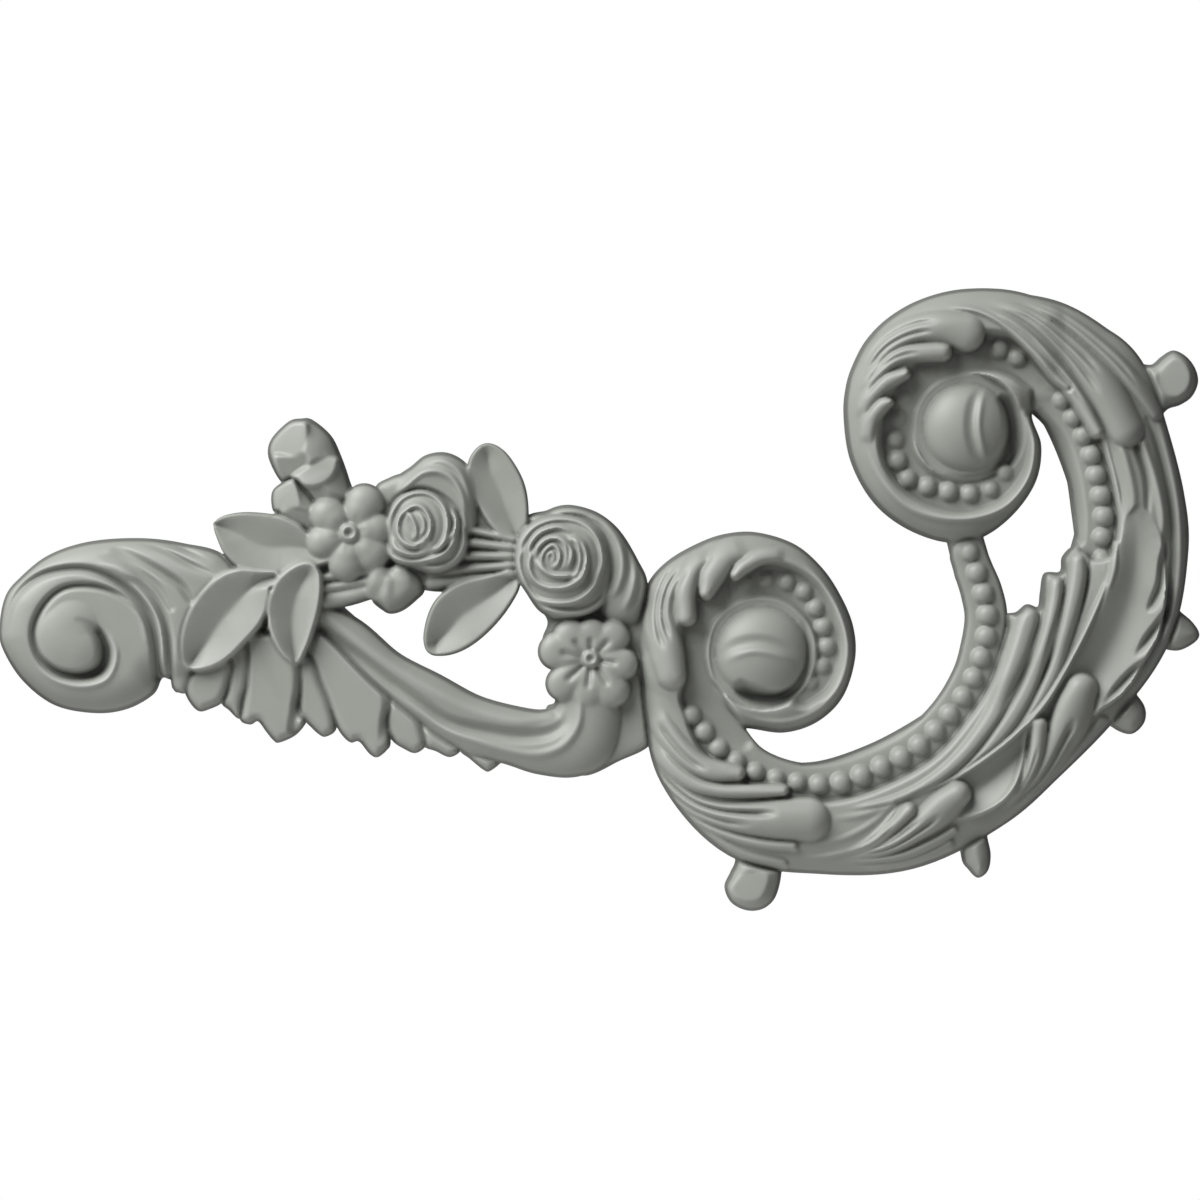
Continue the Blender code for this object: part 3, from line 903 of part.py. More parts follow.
def make_grid_mesh(relief, name):
    """A closed mesh: a grid cut to the outline, doubled, and its front pushed to the relief."""
    columns, rows = len(relief.x) - 1, len(relief.z) - 1
    bm = bmesh.new()
    bmesh.ops.create_grid(bm, x_segments=columns, y_segments=rows, size=0.5)
    cells = covered_cells(relief)
    bm.faces.ensure_lookup_table()
    spare = []
    for face in bm.faces:
        centre = face.calc_center_median()
        if not cells[int((centre.y + 0.5) * rows), int((centre.x + 0.5) * columns)]:
            spare.append(face)
    bmesh.ops.delete(bm, geom=spare, context="FACES")
    on_edge = np.array([vertex.is_boundary for vertex in bm.verts])
    unit = np.array([vertex.co[:2] for vertex in bm.verts])
    x = relief.x[0] + (unit[:, 0] + 0.5) * columns * relief.step
    z = relief.z[0] + (unit[:, 1] + 0.5) * rows * relief.step
    x, z = snap_to_outline(relief, x, z, on_edge)
    height = sample(relief.height, relief, x, z)
    across = LENGTH / DRAWN_LENGTH
    forward = PROJECTION / DRAWN_PROJECTION
    front = bm.verts[:]
    for vertex, px, pz in zip(front, x * across, z * across):
        vertex.co = (px, 0, pz)
    bmesh.ops.extrude_face_region(bm, geom=bm.faces[:], use_keep_orig=True)
    for vertex, h in zip(front, height * forward):
        vertex.co.y = -h
    bm.normal_update()
    bmesh.ops.recalc_face_normals(bm, faces=bm.faces[:])
    if bm.calc_volume(signed=True) < 0:
        bmesh.ops.reverse_faces(bm, faces=bm.faces[:])
    mesh = bpy.data.meshes.new(name)
    bm.to_mesh(mesh)
    bm.free()
    return mesh


def make_paint():
    paint = bpy.data.materials.new("satin_grey_green_paint")
    paint.use_nodes = True
    shader = paint.node_tree.nodes["Principled BSDF"]
    shader.inputs["Base Color"].default_value = PAINT_COLOUR
    shader.inputs["Roughness"].default_value = PAINT_ROUGHNESS
    shader.inputs["Metallic"].default_value = 0
    return paint


def main():
    for old in list(bpy.data.objects):
        bpy.data.objects.remove(old, do_unlink=True)
    step = GRID_STEP * DRAWN_LENGTH / LENGTH
    mesh = make_grid_mesh(carve(step), "scroll_onlay")
    mesh.materials.append(make_paint())
    onlay = bpy.data.objects.new("scroll_onlay", mesh)
    collection = bpy.data.collections.new("scroll onlay")
    bpy.context.scene.collection.children.link(collection)
    collection.objects.link(onlay)
    triangles = sum(len(polygon.vertices) - 2 for polygon in mesh.polygons)
    fewer = onlay.modifiers.new("fewer faces", "DECIMATE")
    fewer.ratio = FACE_TARGET / triangles


main()
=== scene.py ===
# %% [markdown]
# # A carved scroll onlay
# The real thing is one casting with a flat back: a leafy C-scroll with three curls, strings of
# beads, roses and open flowers, painted in a satin grey green. It is glued to a door or a
# chimneypiece. The solid that came before this lesson holds its true size and its main forms.
# Here its fine skin is worked out, painted and lit.

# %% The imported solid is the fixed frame
import math

import bmesh
import bpy
import numpy as np
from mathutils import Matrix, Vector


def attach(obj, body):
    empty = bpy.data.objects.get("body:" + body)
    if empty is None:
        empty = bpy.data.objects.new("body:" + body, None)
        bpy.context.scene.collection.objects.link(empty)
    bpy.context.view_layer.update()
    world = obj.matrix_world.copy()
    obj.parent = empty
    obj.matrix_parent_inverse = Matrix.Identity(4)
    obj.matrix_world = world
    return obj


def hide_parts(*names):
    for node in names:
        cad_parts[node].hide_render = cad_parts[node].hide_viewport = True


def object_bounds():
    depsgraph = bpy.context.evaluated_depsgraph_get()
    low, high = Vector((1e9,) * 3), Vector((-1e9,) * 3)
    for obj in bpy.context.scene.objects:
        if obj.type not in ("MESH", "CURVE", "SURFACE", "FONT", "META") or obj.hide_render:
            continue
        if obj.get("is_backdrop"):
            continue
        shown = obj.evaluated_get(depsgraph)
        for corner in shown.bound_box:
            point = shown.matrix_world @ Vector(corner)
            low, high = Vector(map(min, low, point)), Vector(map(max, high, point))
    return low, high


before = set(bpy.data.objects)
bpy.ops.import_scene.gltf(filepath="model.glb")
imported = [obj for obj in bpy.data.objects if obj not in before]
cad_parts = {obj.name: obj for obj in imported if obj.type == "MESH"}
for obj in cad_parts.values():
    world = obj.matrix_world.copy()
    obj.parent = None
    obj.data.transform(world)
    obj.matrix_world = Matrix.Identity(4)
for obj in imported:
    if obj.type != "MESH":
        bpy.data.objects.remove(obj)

CAD_LOW, CAD_HIGH = ([float(v) for v in corner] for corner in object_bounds())
print("solid from", CAD_LOW, "to", CAD_HIGH)

# %% [markdown]
# ## How carving becomes a mesh
# A carver works from a flat drawing and thinks in heights above the board. A sculpting brush
# could do this by hand, but numbers are easier to change. So the skin is a height field: for
# every place on a square grid, how far the surface stands off the back. The drawing is in
# millimetres, x to the right and z up. Each motif below lays bars, lobes, leaves, plates,
# balls and grooves on the grid, back ones first.

# %% The size of the drawing, and the margin and step of its grid
DRAWN_LOW = np.array([-299.6, -154.9])
DRAWN_HIGH = np.array([299.2, 155.6])
FIELD_MARGIN = 4.0
GRID_STEP = 0.6
drawn_size = DRAWN_HIGH - DRAWN_LOW
print("the drawing is", drawn_size[0].round(), "mm long and", drawn_size[1].round(), "mm high")

# %% [markdown]
# ## Curves
# A stem is drawn as a few rows: a place, a half width and a crest height. A curve object with a
# taper would do the same, one column at a time. Here a cubic that passes through every row
# carries all columns along at once. A leaf is easier to draw by its two edges, so `between`
# walks both at even steps and takes their middle as the line and half their gap as the width.

# %% Smooth curves
FAR = 50.0
THINNEST = 0.05
POINTS_PER_SPAN = 10
STATIONS = 36


def smooth_line(rows):
    """A smooth curve through the rows, with every column carried along."""
    points = np.array(rows, float)
    ends = np.vstack([2 * points[0] - points[1], points, 2 * points[-1] - points[-2]])
    t = np.linspace(0, 1, POINTS_PER_SPAN, endpoint=False)[:, None]
    a, b, c, d = (ends[i:len(ends) - 3 + i, None, :] for i in range(4))
    curve = 2 * b + (c - a) * t + (2 * a - 5 * b + 4 * c - d) * t**2 + (3 * b - a - 3 * c + d) * t**3
    line = np.vstack([0.5 * curve.reshape(-1, points.shape[1]), points[-1:]])
    if line.shape[1] > 2:
        line[:, 2] = np.maximum(line[:, 2], THINNEST)
    return line


def even_steps(rows, count):
    """The smooth curve through the rows, cut at even lengths."""
    line = smooth_line(rows)
    run = np.hypot(*np.diff(line[:, :2], axis=0).T)
    travelled = np.concatenate([[0], np.cumsum(run)])
    places = np.linspace(0, travelled[-1], count)
    return np.stack([np.interp(places, travelled, column) for column in line.T], 1)


def between(left, right, values):
    """The line midway between two edges, with its half width and a value that runs along it."""
    a, b = even_steps(left, STATIONS), even_steps(right, STATIONS)
    half = np.maximum(np.hypot(*(a - b).T) / 2, THINNEST)
    value = np.interp(np.linspace(0, 1, STATIONS), np.linspace(0, 1, len(values)), values)
    return np.column_stack([(a + b) / 2, half, value])


print(len(smooth_line([(0, 0), (10, 5), (20, 0)])), "points on a curve through three rows")

# %% [markdown]
# ## Round sections
# Carved work is all round bellies and soft valleys. `dome` is a quarter-ellipse section,
# `smooth_step` an S that fades one surface into another without a seam, and `soft_max` the larger
# of two heights with a little fillet, like the glue line that paint leaves in a corner.

# %% Sections and fades
def smooth_step(t):
    """0 below 0, 1 above 1 and an S between."""
    t = np.clip(t, 0, 1)
    return t * t * (3 - 2 * t)


def soft_max(a, b, width):
    """The larger of two heights, with a small fillet where they meet."""
    near = np.clip(1 - np.abs(a - b) / width, 0, 1)
    return np.maximum(a, b) + near * near * width / 4


def dome(v, power):
    """A round cross-section: 1 on the centre line, 0 at the edge, fuller as power grows."""
    return np.sqrt(np.clip(1 - np.clip(np.abs(v), 0, 1)**power, 0, 1))


print("a dome half way out is", round(float(dome(0.5, 2)), 2), "of its height")

# %% [markdown]
# ## The board
# The board keeps two numbers for every place: how high the skin stands, and how far inside the
# outline the place lies, negative outside. The second one later gives a smooth edge that does not
# follow the grid. `ground` is a copy of the height that the lobes ride on.

# %% The board
class Near:
    """What the grid points near a line know about it."""

    def __init__(self, window, shape):
        self.window = window
        self.inside = np.full(shape, -FAR)
        self.along = np.zeros(shape)
        self.across = np.zeros(shape)
        self.value = np.zeros(shape)


class Relief:
    """A height and a signed distance to the outline, on a square grid."""

    def __init__(self, low, high, step):
        self.step = step
        self.x = np.arange(low[0], high[0] + step / 2, step)
        self.z = np.arange(low[1], high[1] + step / 2, step)
        self.height = np.zeros((len(self.z), len(self.x)))
        self.inside = np.full(self.height.shape, -FAR)
        self.ground = self.height.copy()

    def keep_ground(self):
        """Lobes that come later ride on the height as it is now."""
        self.ground = self.height.copy()

    def window(self, low, high):
        """The rows and columns of the grid between two corners."""
        c0, c1 = np.searchsorted(self.x, [low[0], high[0]])
        r0, r1 = np.searchsorted(self.z, [low[1], high[1]])
        return slice(r0, r1), slice(c0, c1)

# %% [markdown]
# ## How far is it to the line?
# Each grid place looks for the nearest of the short straight pieces of a curve. Its foot on the
# piece tells how far along it is, and its distance, over the half width there, how far across.
# Pieces of a tapering stem are cones, so the foot is shifted by the taper. NumPy does this for
# all places at once, a few pieces at a time, which keeps the memory small.

# %% Distance to a curve
REACH = 2.0
STEEPEST_TAPER = 0.95
LINES_AT_ONCE = 8


def measure(self, near, part, x, z, box, start, count):
    """Updates the grid points in box with the nearest of a few straight pieces."""
    a, b = part[:-1], part[1:]
    dx, dz, widening = (b - a)[:, :3].T
    run = np.hypot(dx, dz)
    px = x[None, box[1], None] - a[:, 0]
    pz = z[box[0], None, None] - a[:, 1]
    foot = (px * dx + pz * dz) / run
    side = (dx * pz - dz * px) / run
    taper = np.clip(widening / run, -STEEPEST_TAPER, STEEPEST_TAPER)
    t = np.clip((foot + np.abs(side) * taper / np.sqrt(1 - taper**2)) / run, 0, 1)
    distance = np.hypot(foot - t * run, side)
    half = a[:, 2] + t * widening
    inside = half - distance
    best = inside.argmax(-1)[..., None]

    def pick(values):
        return np.take_along_axis(values, best, -1)[..., 0]

    k = best[..., 0]
    t = pick(t)
    across = np.where(pick(side) >= 0, 1, -1) * pick(distance) / pick(half)
    value = part[k, 3] + t * (part[k + 1, 3] - part[k, 3])
    better = pick(inside) > near.inside[box]
    near.along[box] = np.where(better, (start + k + t) / count, near.along[box])
    near.across[box] = np.where(better, across, near.across[box])
    near.value[box] = np.where(better, value, near.value[box])
    near.inside[box] = np.where(better, pick(inside), near.inside[box])


def follow(self, rows):
    """Measures the grid against a curve of x, z, half width and a value."""
    line = rows if isinstance(rows, np.ndarray) else smooth_line(rows)
    wide = line[:, 2].max() + REACH
    window = self.window(line[:, :2].min(0) - wide, line[:, :2].max(0) + wide)
    x = self.x[window[1]]
    z = self.z[window[0]]
    near = Near(window, (len(z), len(x)))
    count = len(line) - 1
    for start in range(0, count, LINES_AT_ONCE):
        part = line[start:start + LINES_AT_ONCE + 1]
        wide = part[:, 2].max() + REACH
        i0, i1 = np.searchsorted(z, [part[:, 1].min() - wide, part[:, 1].max() + wide])
        j0, j1 = np.searchsorted(x, [part[:, 0].min() - wide, part[:, 0].max() + wide])
        if i0 < i1 and j0 < j1:
            self.measure(near, part, x, z, (slice(i0, i1), slice(j0, j1)), start, count)
    return near


Relief.measure = measure
Relief.follow = follow

# %% [markdown]
# ## Laying one surface on another
# A part laid `over` replaces what is there; any other part shows only where it is higher, as
# sculpted clay would. Both fade in over `edge` at their border. A part with an outline also makes
# the ornament itself larger.

# %% Laying a surface
def put(self, near, z, edge=1.0, over=False, blend=0.5, outline=True, fade=0.0):
    """Lays a surface: over what is there, or only where it is higher."""
    window = near.window
    height = self.height[window]
    inside = self.inside[window]
    share = smooth_step(near.inside / edge + 0.5)
    if fade:
        share = share * smooth_step(near.along / fade)
    laid = height + (z - height) * share
    if not over:
        raised = np.maximum(height, soft_max(height, z, blend) * share + height * (1 - share))
        laid = np.where(share > 0, raised, height)
    if outline:
        bare = np.where(near.inside > inside, z, height)
        self.height[window] = np.where(inside > 0, laid, bare)
        self.inside[window] = np.maximum(inside, near.inside)
    else:
        self.height[window] = laid


Relief.put = put

# %% [markdown]
# ## Bars, grooves and balls
# A bar is a round stem: crest height minus `drop` times one minus the dome. A line adds or takes
# away height with the soft bell (1 - v squared) squared, so it makes both grooves and fine lips. A
# ball is a bar with no length.

# %% Bars, grooves and balls
BEAD_SEAT = 12.0
GROOVE_DEPTH = 1.35


def bar(self, rows, drop=3.0, power=2.0, tilt=0.0, **how):
    """A rounded bar along rows of x, z, half width and crest height."""
    near = self.follow(rows)
    z = near.value - drop * (1 - dome(near.across, power)) + tilt * near.across
    self.put(near, z, **how)


def line(self, rows, times=1.0):
    """A ridge, or a groove where it is negative, along x, z, half width and height."""
    near = self.follow(rows)
    profile = (1 - np.clip(near.across, -1, 1)**2)**2
    self.height[near.window] += np.where(near.inside > 0, times * near.value * profile, 0)


def ball(self, x, z, radius, base, squash=1.0, over=False, blend=0.3):
    """A ball or a flatter dome: base plus squash times radius times the dome."""
    near = self.follow([(x, z, radius, 0), (x + THINNEST, z, radius, 0)])
    height = base + squash * radius * dome(near.across, 2)
    self.put(near, height, edge=0.3, over=over, blend=blend)


Relief.bar = bar
Relief.line = line
Relief.ball = ball

# %% [markdown]
# ## Lobes and leaves
# A lobe of acanthus is a swelling that grows out of its ground and ends round. Its height is the
# ground plus lift times dome, less a bell-shaped flute where the gouge ran, and it sinks a
# little at its border so that a dark crease parts it from its neighbour. A small leaf is the
# opposite, a valley: its flanks rise with the distance from the midrib, and a lip turns down.

# %% Lobes and leaves
FLUTE_END = 0.15
LIP_TURN = 0.7


def lobe(self, rows, flutes=(), edge=1.2, power=2.2, fade=0.25, sink=1.8):
    """A lobe along rows of x, z, half width and lift above the ground it rides on."""
    near = self.follow(rows)
    z = self.ground[near.window] + (near.value + sink) * dome(near.across, power) - sink
    for where, wide, deep, start, end in flutes:
        fading = smooth_step((near.along - start) / FLUTE_END)
        fading = fading * smooth_step((end - near.along) / FLUTE_END)
        z = z - deep * fading * np.exp(-((near.across - where) / wide)**2)
    self.put(near, z, edge=edge, over=True, fade=fade, outline=False)


def leaf(self, rows, rise=4.5, lip=0.14, rib=0.0, keel=0.04, tip=0.0, **how):
    """A leaf like a valley: a sharp midrib, two flanks rising from it and a round lip. The
    flanks flatten over the last share of its length, tip."""
    near = self.follow(rows)
    if tip:
        rise = rise * smooth_step((1 - near.along) / tip)
    off = near.across - rib
    v = np.where(off > 0, off / (1 - rib), -off / (1 + rib))
    v = np.sqrt(v**2 + keel**2) - keel
    flank = rise * np.minimum(v, 1 - lip) / (1 - lip)
    turned = np.clip((v - (1 - lip)) / lip, 0, 1)
    self.put(near, near.value + flank - LIP_TURN * rise * turned**2, over=True, **how)


Relief.lobe = lobe
Relief.leaf = leaf

# %% [markdown]
# ## Plates
# A petal or a cut face is a patch with a free outline. Its height rises from the edge over
# `width` by a quarter round, and the top may lean like a chip that a knife has left. A place is
# inside when a ray to the right crosses the outline an odd number of times.

# %% Plates
def plate(self, points, edge_height, rise, width, power=2.0, lean=(0, 0), **how):
    """A body inside a closed smooth outline, rounded up from its edge over width, whose
    top leans by so much a millimetre to the right and up."""
    ring = np.array(points, float)
    line = smooth_line(np.vstack([ring[-1:], ring, ring[:2]]))[POINTS_PER_SPAN:-POINTS_PER_SPAN]
    window = self.window(line.min(0) - REACH, line.max(0) + REACH)
    x = self.x[window[1]]
    z = self.z[window[0]]
    near = Near(window, (len(z), len(x)))
    distance = np.full(near.inside.shape, FAR)
    crossed = np.zeros(distance.shape, bool)
    for (ax, az), (bx, bz) in zip(line[:-1], line[1:]):
        px, pz = x[None] - ax, z[:, None] - az
        dx, dz = bx - ax, bz - az
        t = np.clip((px * dx + pz * dz) / (dx * dx + dz * dz), 0, 1)
        distance = np.minimum(distance, np.hypot(px - t * dx, pz - t * dz))
        spans = (az > z[:, None]) != (bz > z[:, None])
        if spans.any():
            crossed ^= spans & (px < dx * pz / dz)
    near.inside = np.where(crossed, distance, -distance)
    t = np.clip(near.inside / width, 0, 1)
    middle = line.mean(0)
    leaning = lean[0] * (x[None] - middle[0]) + lean[1] * (z[:, None] - middle[1])
    self.put(near, edge_height + leaning + rise * dome(1 - t, power), **how)


Relief.plate = plate

# %% [markdown]
# # The carving, from back to front
# Now the board is set up, and the motifs follow in the order in which they overlap.

# %% An empty board
relief = Relief(DRAWN_LOW - FIELD_MARGIN, DRAWN_HIGH + FIELD_MARGIN, GRID_STEP)
SQUARE_CM = 100


def tell(what):
    """Says how much of the board is covered so far, and how high it stands."""
    covered = (relief.inside > 0).sum() * relief.step**2 / SQUARE_CM
    print(f"{what}: {covered:.0f} square cm covered, {relief.height.max():.1f} mm high")


tell("empty board")

# %% [markdown]
# ## Cut twigs
# Five stubs stand on the outer side of the big scroll, as if a knife had taken off its side
# twigs. A cylinder cut with a boolean would do. As plates they round up by a quarter circle over
# 9 mm, and the two large ones get a flat face that leans, so it catches the light by itself.

# %% Cut twigs
def nubs(r):
    """Five cut twigs on the outer side of the big scroll; the two large ones get a cut face."""
    stubs = [
        [(66, -120), (67.6, -129.6), (65, -136), (62.2, -143), (65.4, -150.6), (73, -154.6),
         (81, -154), (87, -149), (90, -140), (90.6, -130), (88, -120)],
        [(180, -112), (180.6, -128.6), (184, -134.4), (188.5, -138.4), (193.5, -135),
         (195, -127), (193.3, -118), (192, -108)],
        [(244, -52), (255, -62.8), (264.5, -66.8), (271, -62), (272.3, -55), (268.5, -48),
         (258, -38)],
        [(272, -20), (281, -24), (289, -25), (297, -20.8), (299, -16.5), (295.5, -10.8),
         (290, -6), (280, 2)],
        [(258, 108), (268, 117), (275.4, 117.6), (280.4, 121.6), (286, 124.6), (292.4, 121.6),
         (297, 115.6), (298.4, 108.6), (295.4, 101.6), (289.6, 97.4), (283, 95), (276, 88),
         (262, 88)],
    ]
    for outline in stubs:
        r.plate(outline, 4, 10, 9)
    cut_faces = [
        ([(72, -136), (67, -139), (64.5, -144), (68, -148.5), (75, -150.5), (81, -148),
          (84.5, -139), (82, -135)],
         13.4, (0.10, -0.05)),
        ([(280.6, 117), (286, 121.4), (291.6, 118.4), (294.6, 111.4), (292.6, 104), (287, 100.4),
          (281, 103), (277.6, 110)],
         13.6, (0.12, -0.04)),
    ]
    for outline, height, lean in cut_faces:
        r.plate(outline, height, 0.6, 3, lean=lean, over=True, edge=2.4)


nubs(relief)
tell("cut twigs")

# %% [markdown]
# ## The ground behind the flowers
# A casting cannot have blossoms that hang in the air, so a low ground joins them. It is drawn
# first, as wide flat bars, and hardly shows afterwards. Without it the gaps between petals would
# be holes.

# %% The ground behind the flowers
def low_ground(r):
    """What joins the flowers, leaves and stems behind."""
    r.plate([(-45, 36), (-22, 44), (4, 38), (18, 18), (22, 2), (21.5, -30), (23, -45), (26, -60),
             (24.7, -72.3), (10, -80), (-8, -87.5), (-24, -80), (-27, -55), (-22.4, -50),
             (-24, -33), (-28.6, -20), (-26.4, -9.5), (-37, 4.6)],
            6, 4, 6)
    r.bar([(-160, 12, 12, 13), (-146, 15, 14, 12), (-130, 14, 15, 10.5), (-105, 24, 16, 10.5),
           (-80, 28, 17, 9.5), (-62, 27, 15, 8.5), (-44, 24, 12, 9)],
          drop=4, power=3)
    r.bar([(186.4, 14, 9.4, 11), (181.2, 34, 8.8, 11)], drop=2, power=5)
    r.bar([(-105, 46, 9, 12), (-92, 24, 14, 9), (-86, 15, 10, 9), (-74, 13, 8.6, 9),
           (-60, 17, 10, 9)])
    r.bar([(-66, 44, 8, 9), (-56, 38, 8, 9), (-48, 34, 8, 9)])
    r.bar([(-150, 30, 18, 12), (-140, 40, 14, 13), (-120, 36, 16, 13), (-106, 40, 12, 13)])
    r.bar([(-205, -6, 22, 16), (-182, -12, 26, 16), (-156, -16, 26, 15), (-134, -30, 24, 13),
           (-105, -50, 17, 11), (-80, -60, 13, 10), (-60, -67, 9, 9)],
          drop=4)


low_ground(relief)
tell("the ground behind the flowers")

# %% [markdown]
# ## The snail at the left end
# A round body rises by a quarter circle over 17 mm. Its spiral is not modelled as a coil: it is
# cut into the body with grooves, as the carver does, and the widening last turn of the inner
# groove leaves the eye standing.

# %% The snail at the left end
def left_volute(r):
    """The plain snail at the left end, with the flutes of its neck."""
    r.plate([(-299.5, -13), (-296.5, 2), (-289, 11.5), (-275, 22.5), (-255, 29.2), (-230, 31),
             (-208, 28.5), (-186, 21.5), (-165, -5), (-180, -32), (-206, -40), (-214, -39.6),
             (-218.6, -39), (-223, -47), (-236, -54.3), (-252, -56.3), (-272, -52.3),
             (-288, -40), (-298, -24)],
            4, 17, 17, power=2.1, over=True)
    outer_groove = [(-296, -18, 2, 0), (-292.5, -3, 2.4, -1.5), (-286, 6.8, 2.8, -2.8),
                    (-275, 13.2, 3, -3.4), (-260, 15.6, 3, -3.4), (-247, 13, 3, -3.4),
                    (-234, 5, 3.2, -3.8), (-225, -6, 3.4, -4), (-221, -20, 3.6, -4.2),
                    (-220, -38, 3.4, -4)]
    outer_lip = [(-262, 11.6, 2, 0), (-248, 9, 2, 0.8), (-236, 1.5, 2, 1), (-228, -9, 2, 1),
                 (-225, -20, 2, 0.6)]
    inner_groove = [(-224, -14, 1.2, 0), (-229, -5, 2, -1.6), (-239, 3, 2.2, -2.4),
                    (-252, 7, 2.2, -2.7), (-266, 6, 2.2, -2.8), (-276, -2, 2.3, -2.9),
                    (-281.5, -15, 2.4, -3.1), (-278.5, -28, 2.6, -3.4), (-269, -36, 3.4, -5),
                    (-257, -37.6, 4, -6), (-248.5, -34, 5, -7.5), (-246, -26, 5, -7.5),
                    (-249.5, -16.5, 4, -5), (-256, -11.2, 2.6, -2.5), (-261, -9.5, 2, 0)]
    eye_lip = [(-280, -33, 1.6, 0), (-270, -40, 1.8, 1), (-257, -43, 1.8, 1.4),
               (-244.5, -39, 1.8, 1.4), (-240, -27, 1.8, 1.2), (-244, -16, 1.6, 0)]
    neck_flutes = [
        [(-250, 19, 3, 0), (-238, 15, 3.4, 1.4), (-227, 5, 3.4, 1.6), (-219, -8, 3, 1.6),
         (-216.5, -22, 2.6, 1.4), (-216.5, -36, 2, 0)],
        [(-238, 12, 2.6, 0), (-228, 7, 3.2, -2.4), (-219, -4, 3.4, -3), (-214.8, -18, 3.2, -3),
         (-214, -38, 3, -3)],
        [(-250, 22, 3, 0), (-236, 19, 3, -1.5), (-222, 9, 3, -1.8), (-213, -4, 2.5, -1)],
        [(-244, 25, 3, 0), (-236, 23, 3.6, -1.8), (-221, 15.5, 3.6, -2.6), (-209, 8, 3.2, -2.6),
         (-203, 0, 3, -2)],
        [(-230, 29, 1.5, 0), (-216, 24.2, 2, -2), (-203, 17.5, 2.2, -2.4), (-190, 12, 1.6, 0)],
        [(-222, 29, 1.2, 0), (-206, 24.6, 1.8, -2.2), (-192, 19, 1.4, 0)],
    ]
    for rows in [outer_groove, inner_groove] + neck_flutes:
        r.line(rows, times=GROOVE_DEPTH)
    for rows in (outer_lip, eye_lip):
        r.line(rows)
    r.bar([(-262, -13, 13, 22.5), (-264.5, -19, 15, 23.5), (-261, -23, 13, 23.5)], drop=7,
          edge=4, outline=False, blend=6)


left_volute(relief)
tell("the snail at the left end")

# %% [markdown]
# ## Feathers under the stem
# Acanthus feathers hang from the stem, each a plate that lies over the one to its right. The top
# leans up to the right by a tenth and then falls off in a round of 4.8 mm, which gives every
# feather a light face and a dark flank.

# %% Feathers under the stem
def fringe(r):
    """Acanthus feathers hanging from the lower stem, the right ones under the left ones."""
    feathers = [
        ([(-76, -58), (-62, -64), (-50, -72), (-48, -79), (-54.5, -85), (-58, -84.6), (-65, -79),
          (-69.6, -75.4), (-72, -69)],
         7, 4),
        ([(-94, -52), (-84, -54), (-73, -62), (-69.5, -70), (-69.5, -75.2), (-75, -78.2),
          (-82, -75.2), (-87.4, -73), (-90, -66)],
         7, 5),
        ([(-112, -36), (-98, -46), (-91, -57), (-87.5, -66), (-87, -72.6), (-92, -76.2),
          (-98, -73.9), (-103.5, -70), (-107, -62)],
         7.5, 5),
        ([(-146, -24), (-134, -12), (-116, -28), (-107, -41), (-104, -51), (-106, -60),
          (-104.5, -71), (-106.5, -75), (-111, -78.3), (-115, -76.4), (-120, -70.5), (-124, -71),
          (-127.5, -68.5), (-131, -63.4), (-136, -52)],
         8, 6),
        ([(-154, -24), (-144, -28), (-138, -42), (-134, -52), (-131.6, -63.8), (-136.5, -68),
          (-140.5, -66.6), (-147, -60.6), (-152, -58), (-154, -48)],
         7, 5),
        ([(-178, -18), (-162, -16), (-151, -26), (-149, -42), (-150, -52), (-148.4, -57),
          (-146.8, -61), (-152, -67.4), (-160, -71), (-163, -69.6), (-166.5, -65.4),
          (-170.5, -60.4), (-174.5, -62), (-179.6, -59), (-178, -46)],
         8, 6),
        ([(-187, -18), (-176, -18), (-175, -40), (-177.5, -50), (-179.6, -59), (-185, -54.8),
          (-188.6, -51), (-186.5, -42)],
         7.5, 4.6),
        ([(-198, -12), (-190, -12), (-183.5, -30), (-184, -40), (-188, -50.4), (-195.5, -54.6),
          (-200, -55.3), (-204, -51.7), (-207, -45.4), (-206, -38), (-201, -30)],
         7.5, 6),
    ]
    for outline, edge_height, rise in feathers:
        r.plate(outline, edge_height - 1.5, rise + 2, 4.8, lean=(0.1, 0.03), over=True, edge=2)
    r.plate([(-217, 0), (-206, 2), (-203, -30), (-206, -45), (-210, -46), (-212.4, -44.6),
             (-214, -38)],
            10, 5, 4, lean=(0.1, 0.12), blend=3)
    shades = [
        [(-149.4, -34, 2.6, 0), (-149.6, -44, 3, -1.6), (-151, -54, 3.6, -3),
         (-152.6, -64, 3.6, -3)],
        [(-108, -44, 2.6, 0), (-106, -54, 3, -1.4), (-107.6, -64, 3, -1.6), (-109, -72, 2.6, 0)],
    ]
    for rows in shades:
        r.line(rows)


fringe(relief)
tell("feathers under the stem")

# %% [markdown]
# ## The lower stem
# One tapering bar, thin under the leaves and fat at its bend. A broad ridge, a groove and a thin
# ridge run along it, so that it reads as a folded leaf stalk and not as a pipe.

